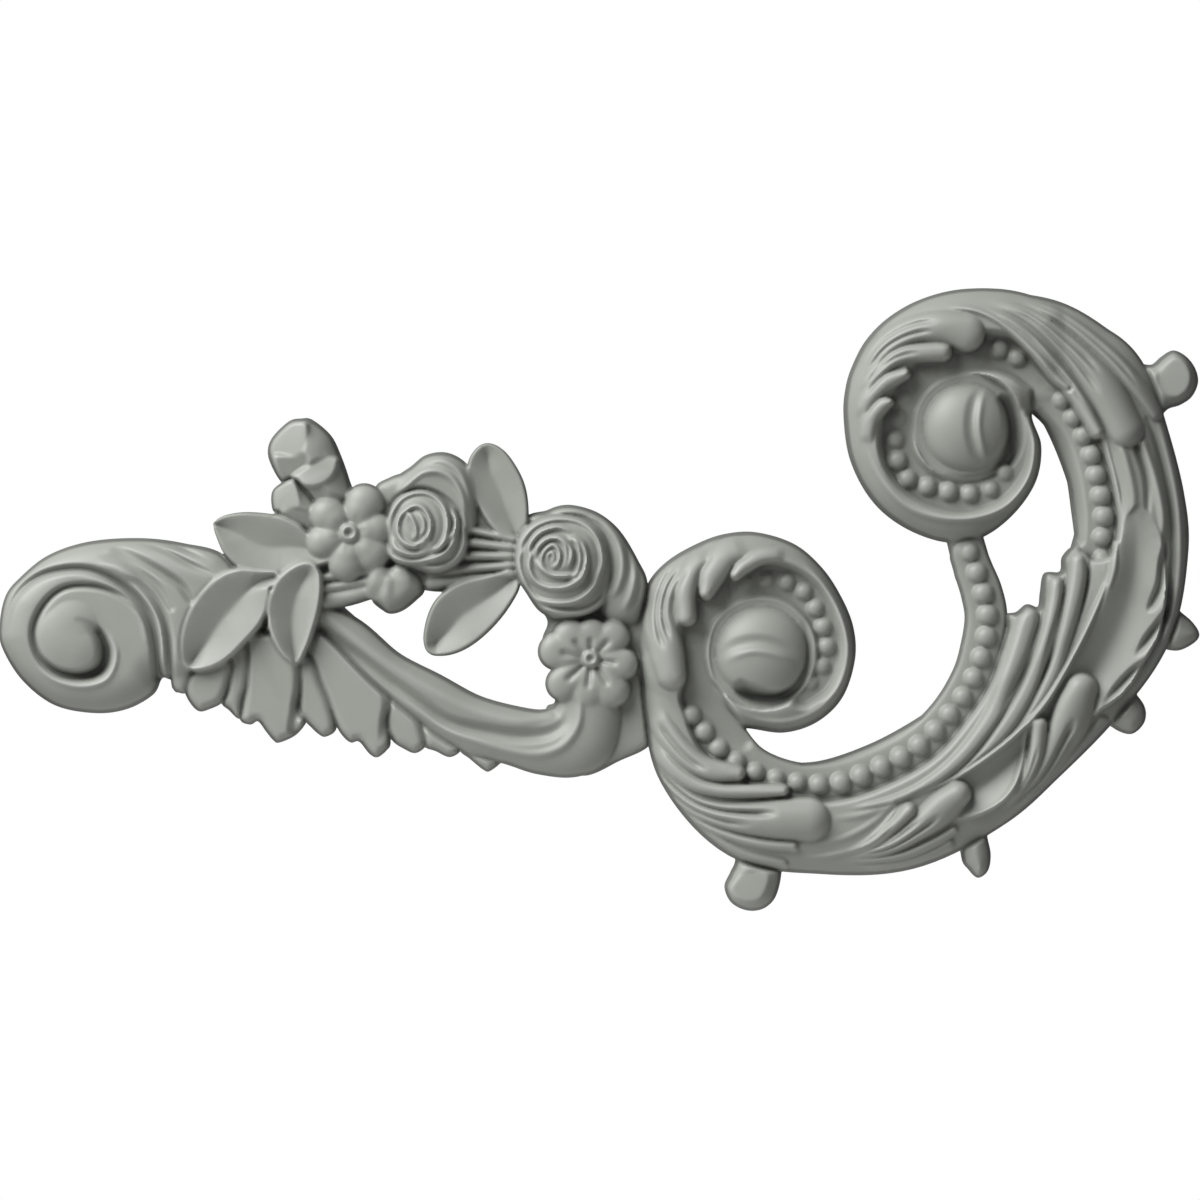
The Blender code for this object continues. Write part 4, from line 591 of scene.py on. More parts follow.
# %% The lower stem
def lower_stem(r):
    """The stem from the leaves down to its round bend under the open flower."""
    r.bar([(-142, -5, 6, 13), (-124, -17.8, 9, 14), (-105.7, -34.9, 10.2, 15),
           (-85.4, -48.5, 12.8, 16), (-64.8, -61.2, 14.4, 17), (-42, -67.8, 14.8, 18),
           (-27, -70.8, 16.4, 18.5), (-12, -69, 18.4, 19), (-6.6, -58, 17, 19), (-6, -46, 15, 19)],
          drop=11, power=2.3, over=True, fade=0.05, edge=2)
    r.line([(-138, -6, 3, 1), (-118, -22, 4, 1.2), (-98, -36, 4.5, 1.2), (-80, -46.5, 5, 1.5),
            (-60, -55, 5.5, 1.6), (-40, -59.5, 5, 1.6), (-26, -57, 4, 1)])
    r.line([(-139, -12, 2, -1), (-120, -28, 4, -3), (-105, -40, 4.6, -3.8), (-88, -52, 5, -4.2),
            (-74, -60.6, 5, -4.2), (-55, -65.4, 5, -3.6), (-38, -67.6, 5, -3.2),
            (-25, -66, 4.6, -2.6), (-17, -60, 3.6, -1.2), (-15, -50, 2.4, 0)])
    r.line([(-104, -42, 2, 0), (-92, -52, 2.4, 1.2), (-76, -64, 2.6, 1.6),
            (-60, -70.4, 2.8, 1.6), (-44, -75.2, 3, 1.6), (-30, -76.6, 3.2, 1.6),
            (-18, -72, 3.2, 1.6), (-11, -62, 3, 1.6), (-9.5, -50, 2.4, 1)])


lower_stem(relief)
tell("the lower stem")

# %% [markdown]
# ## The big C
# The main arm is one fat bar in the shape of a C, 15 mm from its crest down to its edge. Everything
# else on the right side lies on it.

# %% The big C
def arm(r):
    """The big C of the scroll."""
    r.bar([(28, -30, 8, 17), (38, -55, 16, 17), (50, -81, 22, 18), (77, -104, 26.6, 19),
           (110, -108.5, 28, 19), (148, -102, 33, 20), (182.6, -83.8, 34, 20),
           (206, -64, 33.4, 21), (233, -37, 33, 21), (255, -8, 31.8, 21), (264.6, 25, 28.8, 21),
           (264.4, 48, 27.4, 21), (257, 76, 27.8, 21), (246.8, 102, 29, 21),
           (236.6, 112.4, 28.2, 21), (220.6, 123.4, 26.8, 21), (200, 128, 26, 20)],
          drop=15, power=2.1, over=True)


arm(relief)
tell("the big c")

# %% [markdown]
# ## Finger ends
# Three leaf fingers step out of the arm into the open gap. The steps are the outline of a plate,
# and three flat-topped bars between two drawn edges make the fingers' ends.

# %% Finger ends
def finger_ends(r):
    """The three stepped ends of the fingers, which stand clear of the strip into the gap."""
    r.plate([(203, -12), (203, -7), (208, -5.8), (213, -2), (218.6, -3.2), (219.8, 4),
             (221.8, 13.4), (229.6, 14.4), (230.8, 21.6), (236.4, 26.8), (244, 24), (252, 0),
             (238, -30), (212, -44), (200, -34)],
            7, 9, 4, blend=2)
    ends = [
        ([(186, -54), (197, -32), (204.6, -14), (208.8, -8.4)],
         [(198, -58), (210, -36), (219, -16), (218.6, -8.4)]),
        ([(206, -46), (214, -22), (221.4, -2), (223.4, 8.6)],
         [(216, -48), (226, -24), (231, -2), (230.4, 8.6)]),
        ([(218, -36), (227, -8), (232, 12), (233.4, 19.4)],
         [(228, -38), (237, -12), (243, 10), (241.8, 19.4)]),
    ]
    for left, right in ends:
        r.bar(between(left, right, [21, 21, 20, 18]), drop=6, power=2.6, over=True, fade=0.4)


finger_ends(relief)
tell("finger ends")

# %% [markdown]
# ## The two curls
# Both ends of the C roll in. Their bodies are plates with an 18 mm round, joined to the arm with
# a wide fillet. After this the ground is kept: the lobes drawn later ride on it as it is now,
# before any channel is cut.

# %% Bodies of the two curls
def curl_bodies(r):
    """The two round curls, which grow out of the ends of the big C."""
    r.plate([(121.7, 92), (122.9, 107), (126.7, 118.6), (133.3, 130.4), (144, 141), (159, 149.6),
             (178, 154.8), (200, 155.2), (217, 151.4), (231, 144), (235, 120), (224, 102),
             (215.5, 93), (220.2, 77), (217.4, 59), (206, 42.5), (190, 31), (172, 29),
             (151.4, 36.6), (135.6, 50), (125, 70)],
            4, 18, 18, blend=6)
    r.plate([(24.5, 9.4), (34, 19.8), (48, 28), (62, 33), (78, 33.9), (97, 28), (111, 16),
             (120.8, 1), (126.6, -14), (127.2, -30), (121, -48.5), (108.4, -60.7), (92, -66),
             (75, -64), (58, -62), (42, -58), (30, -50), (22, -42), (19, -30), (19, -15),
             (22, -2)],
            4, 18, 18, blend=6)


curl_bodies(relief)
relief.keep_ground()
tell("bodies of the two curls")

# %% [markdown]
# ## Strips for the beads
# A flat band runs inside the C and another up the right arm. They are bars with a flat-topped
# section, power 5, laid over the arm.

# %% Strips for the beads
def bead_strips(r):
    """The two flat strips that carry the long rows of beads."""
    strips = [
        [(50, -48, 10, 12), (60, -67, 12, 12), (76, -82, 9.6, 12), (98, -90.4, 9.6, 12),
         (120, -89.6, 9.8, 12), (142.4, -81.6, 9.8, 12), (160.6, -70.6, 9.8, 12),
         (174.6, -55.6, 9.2, 12), (185.6, -38, 9.8, 12), (190.6, -22, 10.2, 12),
         (192.6, -8, 10.4, 12), (190.4, 4, 10.2, 12), (186.8, 14, 9.6, 12), (184, 22, 9.2, 12)],
        [(224, 100, 10, 12), (235.4, 86, 10.2, 12), (242.6, 66, 10.4, 12), (246.6, 44, 11, 12),
         (247.4, 30, 10, 12)],
    ]
    for rows in strips:
        r.bar(rows, drop=3, power=5, over=True, edge=2.4)
    r.line([(219, 92, 5, -2), (227.6, 78, 7, -7), (233, 62, 7, -7), (236.6, 44, 6, -6),
            (238.4, 30, 4, -3)])


bead_strips(relief)
tell("strips for the beads")

# %% [markdown]
# ## Inside the upper curl
# A carver sinks a channel between the rim and the eye. A bar with no drop, laid over the body,
# cuts it. The eye is a dome with a crease, two fine rings round it, and one deep hooked groove
# whose width and depth grow and fade along the way. A thin lip follows the rim.

# %% Upper curl
EYE_RINGS = [(1.4, 0.8), (4, 0.56)]
RING_WIDTH = 0.9


def eye(r, x, z, radius, crease, hook):
    """The round end of a curl: a low disc, a dome on it, its crease and the hooked groove."""
    r.ball(x, z, radius + 5, 14.6, squash=0.05, over=True)
    r.ball(x, z, radius, 13, squash=0.6, over=True)
    near = r.follow([(x, z, radius + 5, 0), (x + THINNEST, z, radius + 5, 0)])
    for place, lift in EYE_RINGS:
        ring = lift * np.exp(-((near.inside - place) / RING_WIDTH)**2)
        r.height[near.window] += np.where(near.inside > 0, ring, 0)
    for rows in crease + hook:
        r.line(rows)


def upper_curl(r):
    """The sunk channel for the beads of the upper curl, its eye and its rim."""
    r.bar([(222, 108, 8, 13), (208, 119, 9, 12), (192, 123, 9.6, 13), (172, 118, 9, 14.4),
           (157, 105, 8.6, 14.4), (148.5, 88, 8.6, 13.2), (149.5, 71, 8.6, 12),
           (160, 58, 8.6, 12), (178, 51.5, 8.6, 12), (195, 55, 8, 12), (206, 66, 6.5, 13),
           (210.5, 80, 4.6, 14.4), (209, 92, 3.4, 16)],
          drop=0, over=True, edge=5)
    eye(r, 182.6, 86, 22,
        [[(190, 107, 2, 0), (185.6, 98, 4, -1.4), (184, 86, 4.4, -1.6), (186, 75, 4, -1.2),
          (190, 68, 2, 0)],
         [(192, 106, 2, 0), (188.8, 97, 2.6, 1), (187.6, 86, 2.6, 1.1), (190, 75, 2.6, 0.8),
          (193, 69, 2, 0)]],
        [[(198, 101, 3, 0), (202.6, 97, 5, -6), (205.4, 88, 6, -9.5), (205.4, 78, 6, -9.5),
          (201.6, 69, 5, -7), (193.4, 62.6, 3.6, -3.4), (182, 60, 3, -2), (171, 62, 2.4, 0)]])
    r.line([(131, 78, 2, 0), (140, 60, 2.6, 1.6), (152, 47, 2.8, 2.2), (168, 41, 2.8, 2.4),
            (186, 41, 2.8, 2.4), (202, 46.5, 2.8, 2.4), (213, 60, 2.6, 2.4), (216, 76, 2.4, 2.4),
            (213.5, 90, 2.2, 1.4)])


upper_curl(relief)
tell("upper curl")

# %% [markdown]
# ## Inside the lower curl
# The same parts in the same order as above, turned over, so one function for the eye serves both.

# %% Lower curl
def lower_curl(r):
    """The channel, eye and rim of the lower curl, made as the upper one's are."""
    r.bar([(72, -69.6, 3.6, 9.6), (60, -58.6, 6, 10.4), (49.6, -43, 7.4, 11.6),
           (48, -22, 8.6, 13.4), (53, -5, 9, 14.4), (64, 5, 9, 14.4), (80, 9, 9.4, 13),
           (94, 6, 10, 12), (106, -5, 10, 12), (112, -22, 9, 12), (109, -38, 8, 12.5),
           (101, -47, 6, 13.4)],
          drop=0, over=True, edge=5)
    eye(r, 80.5, -26, 23,
        [[(57, -29, 2, 0), (66, -23, 4, -1.2), (78, -20.4, 4.4, -1.6), (91, -23.4, 4, -1.2),
          (101, -30, 2, 0)],
         [(60, -32, 2, 0), (68, -27.4, 2.6, 0.9), (78, -25.2, 2.6, 1.1), (90, -28, 2.6, 0.9),
          (98, -33, 2, 0)]],
        [[(68, -40, 3, 0), (72.6, -45, 5.4, -7), (80.6, -48, 6, -8.6), (89.4, -48.2, 5, -6.4),
          (97, -44, 3.8, -4), (102, -35, 3, -2.6), (103.4, -22, 2.6, -2), (101, -9, 2, 0)]])
    r.line([(100, 20, 2, 0), (110, 9, 2.6, 1.6), (118.5, -6, 2.8, 2.4), (123.5, -23, 2.8, 2.4),
            (121, -40, 2.8, 2.4), (110, -54, 2.8, 2.4), (95, -60.5, 2.8, 2.2),
            (80, -60, 2.4, 1.6), (66, -54, 2.2, 1.4), (57, -43, 2, 1.4), (53.6, -28, 2, 1.4),
            (56, -13, 2, 1.2), (63, -4, 1.8, 0)])


lower_curl(relief)
tell("lower curl")

# %% [markdown]
# ## Beads
# Beads are turned balls, graded by eye. An array modifier on a curve would space them evenly,
# but it could not change their size on the way, so they are placed at even lengths along rows that
# carry the radius. Each is a half sunk ball with a small fillet.

# %% Beads
BEAD_SHARE = 0.94
BEAD_SQUASH = 0.8


def bead_string(r, rows, count):
    """Beads at even steps along rows of x, z and radius, half sunk in the strip."""
    for x, z, radius in even_steps(rows, count):
        r.ball(x, z, BEAD_SHARE * radius, BEAD_SEAT, squash=BEAD_SQUASH, blend=2.4)


def beads(r):
    """The long string of the big C, those of both curls, and the short ones of the right arm."""
    bead_string(r,
                [(45.5, -57, 5.3), (60, -74.5, 5.2), (78, -86, 5), (97, -90.5, 4.7),
                 (117, -91.5, 5.6), (138, -84, 5.5), (157, -74, 5.4), (172, -59.5, 5.1),
                 (184.5, -42, 5), (191.8, -21.5, 5.4), (193, -6, 5.5), (189, 10, 5.5),
                 (184, 24, 5)],
                23)
    bead_string(r,
                [(73, 9, 3.4), (81, 10.4, 3.8), (90, 9.5, 4.5), (99, 6.5, 4.6), (106, -2, 4.7),
                 (110.4, -11.5, 4.7), (113, -21.5, 4.7), (111, -32, 4.4), (105, -41, 4)],
                9)
    bead_string(r,
                [(152, 101, 3.8), (148.5, 90, 4.2), (147, 78, 5), (148.5, 68, 5.4),
                 (153.5, 60, 5.1), (163, 56.5, 5), (174, 54, 5.2), (184, 53, 4.8),
                 (194, 55, 4.4), (201.5, 63.5, 4.4)],
                10)
    bead_string(r, [(198.6, 125, 5.4), (207.8, 120.6, 5)], 2)
    bead_string(r,
                [(229.8, 99.6, 4.6), (235.2, 92, 4.9), (240, 83.6, 5), (244.2, 74, 5.2),
                 (247, 63, 5.2), (249.5, 52, 5.4), (251, 41, 5.4), (250, 31, 5), (250, 21, 4.5)],
                9)


beads(relief)
tell("beads")

# %% [markdown]
# ## Leaves along the arm
# Thin ribs run up the outer side. A broad leaf lies in the middle, a valley whose outer flank
# faces the light, and three short grooves cut its teeth. The fingers are lobes, each laid over
# the one before.

# %% Ribs, toothed leaf and fingers
def arm_leaves(r):
    """Ribs, toothed leaf and fingers of the big C, each over the one before."""
    ribs = [
        [(262, -52, 2, 0), (275, -32, 3, 2), (285, -8, 3.4, 2.5), (289, 18, 3.4, 2.5),
         (287.5, 50, 3.4, 2.5), (281, 80, 3, 2), (277, 92, 2, 1)],
        [(272, -28, 2, -1), (281, -8, 2.6, -3), (284.4, 18, 2.6, -3), (283.4, 48, 2.6, -3),
         (277.4, 76, 2.4, -3), (272, 90, 2, -1)],
        [(279, 28, 1, 0), (279.5, 42, 3, 2.5), (276, 60, 3.4, 2.5), (270, 78, 3, 2)],
        [(272, 42, 2, -1), (271.6, 60, 2.4, -3), (266, 78, 2.4, -3)],
        [(262, 32, 2, 0), (265, 50, 3, 1.4), (261, 70, 3, 1.8), (257, 80, 2, 1)],
        [(257, 32, 2, 0), (259.4, 50, 2.2, -2.4), (255, 70, 2.2, -2.4), (252, 80, 2, -1)],
    ]
    for rows in ribs:
        r.line(rows)
    r.leaf(between([(166, -95), (190, -78.5), (205, -66), (220, -50), (235, -26), (245, -6),
                    (252.5, 12), (256, 24), (259.4, 36), (265, 44.6)],
                   [(176, -109), (196, -103), (214, -88), (232, -69), (250, -52), (263, -42),
                    (271.5, -29), (279, -14), (281, 2), (280.6, 18), (278, 31), (271, 44)],
                   [14, 14.6, 15.4, 15.8, 16, 16, 16.6, 18.4, 20.4]),
           rise=7.4, lip=0.1, rib=0.1, keel=0.18, tip=0.22, outline=False, fade=0.08)
    teeth = [
        [(282, 31, 2, -1), (280, 20, 3, -5), (278.6, 8, 3.2, -5.4), (275, -1, 2.8, -4),
         (272, -6, 1, 0)],
        [(282, -4, 2, -2), (277.6, -12, 3, -5), (271.6, -20.4, 3, -4.6), (266, -28, 1, 0)],
        [(271, -30, 2, -2), (264.6, -36, 3, -5), (257.6, -43.6, 3, -4.6), (250, -52, 1, 0)],
    ]
    for rows in teeth:
        r.line(rows)
    fingers = [
        ([(122, -103), (150, -95), (172, -80), (190, -57), (201, -30), (207, -9)],
         [(122, -106), (152, -99), (177, -85), (197, -62), (211, -36), (219, -9)],
         [1, 2.4, 3, 3, 3.4, 3], 3),
        ([(150, -99), (178, -85), (198, -61), (212, -35), (220, -12), (222.5, 7)],
         [(150, -101), (182, -86), (204, -66), (218, -42), (227, -15), (231.5, 7)],
         [0.6, 1.8, 2.4, 3, 3, 3], 3),
        ([(176, -88), (205, -65), (219, -41), (227, -17), (231, 2), (233, 19)],
         [(177, -89.5), (207, -68), (224, -46), (236, -17), (241.5, 4), (243.6, 19)],
         [0.5, 1.4, 2, 2.8, 3, 3], 3),
        ([(168, -93.5), (190, -78), (205, -65.6), (220, -49.6), (234.6, -25), (245, -3),
          (250.6, 9)],
         [(168, -95.4), (191, -80.6), (207, -68), (222.6, -51.6), (237.4, -26), (248, -4.6),
          (252, 8.4)],
         [1, 3, 4, 4, 4, 4, 2], 2),
        ([(251, 5), (253, 16), (255.6, 28.6)], [(254, 6), (257.4, 16), (257.6, 28.6)], [2, 3, 2],
         2),
    ]
    for left, right, lifts, power in fingers:
        r.lobe(between(left, right, lifts), power=power, fade=0.1)


arm_leaves(relief)
tell("ribs, toothed leaf and fingers")

# %% [markdown]
# ## Lobe clusters
# Three groups of lobes turn round the bottom of the C. The order matters: the outer lobe comes
# first, and the inner ones cover its side. The thin ridge is the rim of the scoop before them.

# %% Lobes at the lower right
def right_cluster(r):
    """The lobes at the lower right of the C, and the rim of the scoop before them."""
    r.lobe(between([(200, -106), (222, -88), (236, -73), (248, -58)],
                   [(202, -109), (226, -91), (242, -74.6), (253, -62)], [1, 2, 2.6, 2]))
    r.lobe(between([(206, -99), (216, -84), (222, -66), (226, -52), (231, -43)],
                   [(209, -103), (226, -88), (237, -73), (244.5, -61), (247.4, -46)],
                   [1.4, 3.2, 5, 6.4, 7]),
           flutes=[(-0.1, 0.16, 3.75, 0.05, 0.8), (-0.62, 0.14, 2, 0.1, 0.75)])
    r.lobe(between([(198, -104), (208, -92), (212.6, -78), (214, -62)],
                   [(202, -105), (214, -91), (221, -76), (222.6, -62)], [1.4, 3.4, 5, 4.6]),
           flutes=[(0.1, 0.2, 1.75, 0.2, 0.8)])
    r.line([(180, -110, 1.5, 0), (196, -102.6, 1.8, 2), (205, -93, 1.8, 2.6),
            (209.6, -80, 1.8, 2.6), (212, -66, 1.8, 2.2), (216, -58.4, 1.5, 1.4)])


right_cluster(relief)
tell("lobes at the lower right")

# %% Lobes at the bottom
def middle_cluster(r):
    """The lobes at the bottom of the C, and the rim of the scoop before them."""
    for rows in [
        [(100, -128, 1.6, 0), (116, -126.6, 1.8, 2), (130, -121.6, 1.8, 2.4),
         (140, -113.4, 1.8, 2.4), (147, -104.8, 1.6, 1.6), (152, -101, 1.5, 0.6)],
        [(104, -121, 2, 0), (120, -118.6, 2.4, 1), (134, -111.6, 2.4, 1), (146, -101, 2, 0.6)],
        [(114, -109, 2.4, 0), (130, -106.6, 2.6, 1.2), (146, -101.4, 2.4, 0.8)],
    ]:
        r.line(rows)
    r.lobe(between([(124, -133), (148, -129), (162, -122.6), (170, -118.6)],
                   [(126, -136), (150, -133.4), (166, -129), (176, -125)], [1, 2, 2.4, 2.4]))
    r.lobe(between([(120, -130), (146, -126), (164, -118.6), (174.6, -112.4)],
                   [(121, -131.6), (150, -129.4), (168, -122.6), (177.6, -116)], [1, 2.2, 3, 3]))
    r.lobe(between([(120, -127), (140, -120), (153, -109.4), (164, -97.6), (172.4, -92.4)],
                   [(122, -130), (146, -125.6), (164, -117), (175, -110), (183.4, -100.4)],
                   [1.4, 3.4, 5, 6.4, 7]),
           flutes=[(-0.2, 0.15, 3.5, 0.1, 0.82), (0.42, 0.13, 2, 0.15, 0.7)])
    r.lobe(between([(112, -127.4), (130, -122), (142, -112.4), (149.4, -104)],
                   [(114, -129), (136, -122.6), (150, -111.6), (157.6, -104.6)],
                   [0.6, 2.4, 4.2, 5.6]),
           flutes=[(-0.15, 0.2, 2, 0.1, 0.8)])


middle_cluster(relief)
tell("lobes at the bottom")

# %% Lobes at the lower left
def left_cluster(r):
    """The lobes at the lower left of the C, from its outer side in to the beads."""
    r.lobe(between([(48, -110), (62, -119), (76, -125), (92, -128.4)],
                   [(48, -113), (60, -122.6), (72, -131), (90, -135)], [1, 2, 2.6, 2.8]))
    r.lobe(between([(38, -99), (50, -109.6), (66, -115.6), (82, -118.6), (96, -119.6)],
                   [(38, -102), (50, -113), (66, -120), (82, -124.2), (96, -125.4)],
                   [1, 2.2, 3, 3.8, 4.2]))
    r.lobe(between([(26, -76), (32, -86), (44, -95.6), (58, -99.6), (75, -99.6), (92, -98),
                    (103.6, -98)],
                   [(27, -84), (34, -96), (46, -106.6), (58, -112.4), (72, -116.4), (90, -119.4),
                    (103.6, -120)],
                   [1, 2.4, 3.8, 5, 6, 7, 7.4]),
           flutes=[(0.3, 0.16, 4.4, 0.0, 0.85), (-0.4, 0.16, 3.6, 0.0, 0.7)], fade=0.15)
    r.lobe(between([(25, -66), (34, -78), (47, -87.6), (60, -91), (76, -91.2), (91, -91.4)],
                   [(26, -74), (34, -86), (46, -94.6), (60, -98), (76, -98.4), (91, -97.8)],
                   [1, 3, 4.4, 5.6, 6, 6]),
           fade=0.15)
    r.lobe(between([(26, -48), (33, -58), (42, -69.6), (52, -77.4), (68, -82)],
                   [(25, -60), (33, -73), (45, -85), (57, -90.4), (69, -90)],
                   [1, 2.6, 3.8, 4.8, 5.2]),
           flutes=[(-0.1, 0.2, 3, 0.1, 0.75)], fade=0.15)


left_cluster(relief)
tell("lobes at the lower left")

# %% [markdown]
# ## Lobes that wrap the rims
# Small lobes climb over the rims of both curls and hang into their channels. Lists of two edges,
# a few lifts and some flutes are all they need.

# %% Lobes over the rims
def wraps(r):
    """Lobes that wrap over the rims of the two curls, and over the top of the right arm."""
    lower_curl = [
        ([(90, 26), (78, 24.6), (69, 20), (64.6, 14)],
         [(96, 21), (84, 19.6), (76, 15.4), (70, 11.4)], ()),
        ([(66, 31), (56, 26), (50, 16), (49, 5)], [(80, 27), (69, 21), (63, 12), (56.6, 3)], ()),
        ([(50, 27), (41, 18), (37.4, 6), (38, -8)], [(58, 24), (50, 14), (47.6, 2), (48, -8)], ()),
        ([(34, 18), (25, 6), (21, -12), (24, -26), (28, -38)],
         [(46, 22), (38, 8), (36, -6), (41, -22), (42.6, -37)],
         [(0.36, 0.13, 3, 0.0, 0.75), (-0.1, 0.13, 3, 0.0, 0.8), (-0.55, 0.12, 2, 0.1, 0.7)]),
    ]
    for left, right, flutes in lower_curl:
        r.lobe(between(left, right, [1.4, 3, 4, 5]), flutes=flutes, fade=0.2)
    upper_curl = [
        ([(129, 80), (131, 94), (138, 100), (142.4, 99.6)],
         [(134, 74), (137, 86), (142, 93), (145.6, 97)], ()),
        ([(126, 92), (130, 104), (140, 112), (150.6, 115)],
         [(130, 88), (137, 98), (145, 104.6), (152.4, 109.6)], ()),
        ([(128, 104), (136, 117), (150, 126), (170, 128.6)],
         [(129, 98), (138, 109), (150, 117), (170, 118.6)], [(0, 0.16, 1.75, 0.1, 0.8)]),
        ([(130, 116), (138, 130), (150, 139), (166, 143.6), (182.6, 142)],
         [(131, 108), (142, 121), (156, 127.6), (170, 127.4), (181.6, 123.6)],
         [(0.36, 0.12, 2.5, 0.0, 0.78), (-0.3, 0.12, 2.5, 0.0, 0.75)]),
    ]
    for left, right, flutes in upper_curl:
        r.lobe(between(left, right, [1.4, 3, 4, 5]), flutes=flutes, fade=0.2)
    arm_top = [
        ([(206, 153), (232, 143), (256, 125), (271, 108.6), (280.6, 95)],
         [(206, 149), (230, 136), (251, 117), (264, 102), (273, 91)], [1, 3, 4, 4.4, 3.6],
         [(0.1, 0.16, 2.4, 0.05, 0.85)]),
        ([(192, 151), (216, 144), (240, 127), (259, 108), (270.4, 87)],
         [(192, 147), (212, 137), (230, 119), (243, 99), (252.4, 83)], [1, 3.4, 5, 6, 6.4],
         [(0.34, 0.14, 3, 0.1, 0.72), (-0.34, 0.14, 3, 0.1, 0.8)]),
        ([(186, 148), (207, 139), (225, 122), (241, 102), (250, 85)],
         [(186, 145), (203, 135), (219, 118), (232, 101), (244, 82)], [1, 3, 4.4, 5, 5],
         [(0.1, 0.2, 2.4, 0.25, 0.85)]),
        ([(170, 147.6), (188, 145), (203, 137), (218.4, 123), (230.4, 110), (234, 106.6)],
         [(170, 145.4), (187, 142), (200, 134.6), (213.8, 121.4), (225, 108.4), (230, 104.8)],
         [1, 2.4, 3.2, 3.6, 4, 3.6], []),
    ]
    for left, right, lifts, flutes in arm_top:
        r.lobe(between(left, right, lifts), flutes=flutes, fade=0.2)


wraps(relief)
tell("lobes over the rims")

# %% [markdown]
# ## The flower spray
# Five plain leaves, three thin twigs and the ribs between the roses. A leaf is the valley section
# from above, so one flank is in light and the other in shade.

# %% Leaves, twigs and ribs
def spray(r):
    """Five leaves, three twigs and the ribs between the roses."""
    r.leaf(between([(-140, 34), (-152, 40.6), (-164, 43), (-176, 43.6), (-186, 42), (-192, 38.8)],
                   [(-140, 17), (-155, 13.2), (-167, 10), (-176, 14.8), (-182, 23.6),
                    (-190, 36.8)],
                   [14, 14, 13.5, 12]),
           rise=3.6)
    r.leaf(between([(-164, 14), (-176, 14), (-190, 11.6), (-200, 2), (-205, -10), (-206.4, -24),
                    (-204.4, -33.4)],
                   [(-160, 9), (-166.6, 2), (-169, -12), (-176, -21), (-184, -28.4), (-193, -32),
                    (-203.6, -33.8)],
                   [17, 17, 16.5, 15.5, 14]),
           rise=5)
    r.leaf(between([(-147, 16), (-157, 11), (-163.6, 4), (-165.4, -8), (-160, -22), (-151.4, -32)],
                   [(-142, 15), (-138.4, 10), (-138.6, -2), (-142.6, -16), (-147, -26),
                    (-150.6, -32)],
                   [17, 17, 16, 14]),
           rise=5)
    r.leaf(between([(-46, 32), (-56, 40), (-63, 52), (-66, 61), (-63, 69), (-57.6, 75.6)],
                   [(-38, 34), (-36, 42), (-37, 56), (-42, 66), (-48.6, 72.6), (-56, 75.8)],
                   [11, 11, 10.5, 9]),
           rise=3.6)
    r.leaf(between([(-48, 13), (-62, 9), (-74, 6), (-81, 1), (-85, -11), (-85.6, -17)],
                   [(-40, 8), (-42, 2), (-49, -8.6), (-58, -18), (-67, -23.6), (-77, -26)],
                   [11, 11, 10.5, 9]),
           rise=4.4)
    twigs = [
        [(-140, 11, 2.6, 15.5), (-126, 12.8, 2.6, 15.5), (-112, 15, 2.6, 15)],
        [(-140, 5.4, 2.8, 15.5), (-126, 7.6, 2.8, 15.5), (-112, 10, 2.8, 15)],
        [(-142, -0.6, 4.2, 15.5), (-127, 1.2, 4.4, 15.5), (-113, 5, 4, 15)],
    ]
    for rows in twigs:
        r.bar(rows, drop=5)
    for left_z, right_z, half_width in [(39, 30, 2.2), (31, 26, 2.6), (22.5, 21.8, 2.6),
                                        (14.5, 17.4, 2.6), (8.4, 13, 2.2)]:
        middle_z = (left_z + right_z) / 2
        r.bar([(-84, left_z, half_width + 1.6, 12), (-62, middle_z, half_width, 13.6),
               (-42, right_z, half_width, 15)],
              drop=5)


spray(relief)
tell("leaves, twigs and ribs")

# %% [markdown]
# ## Buds
# Each bud is a rounded body with a few flat faces that lean in different ways, like a rosebud
# carved with five cuts of a chisel.

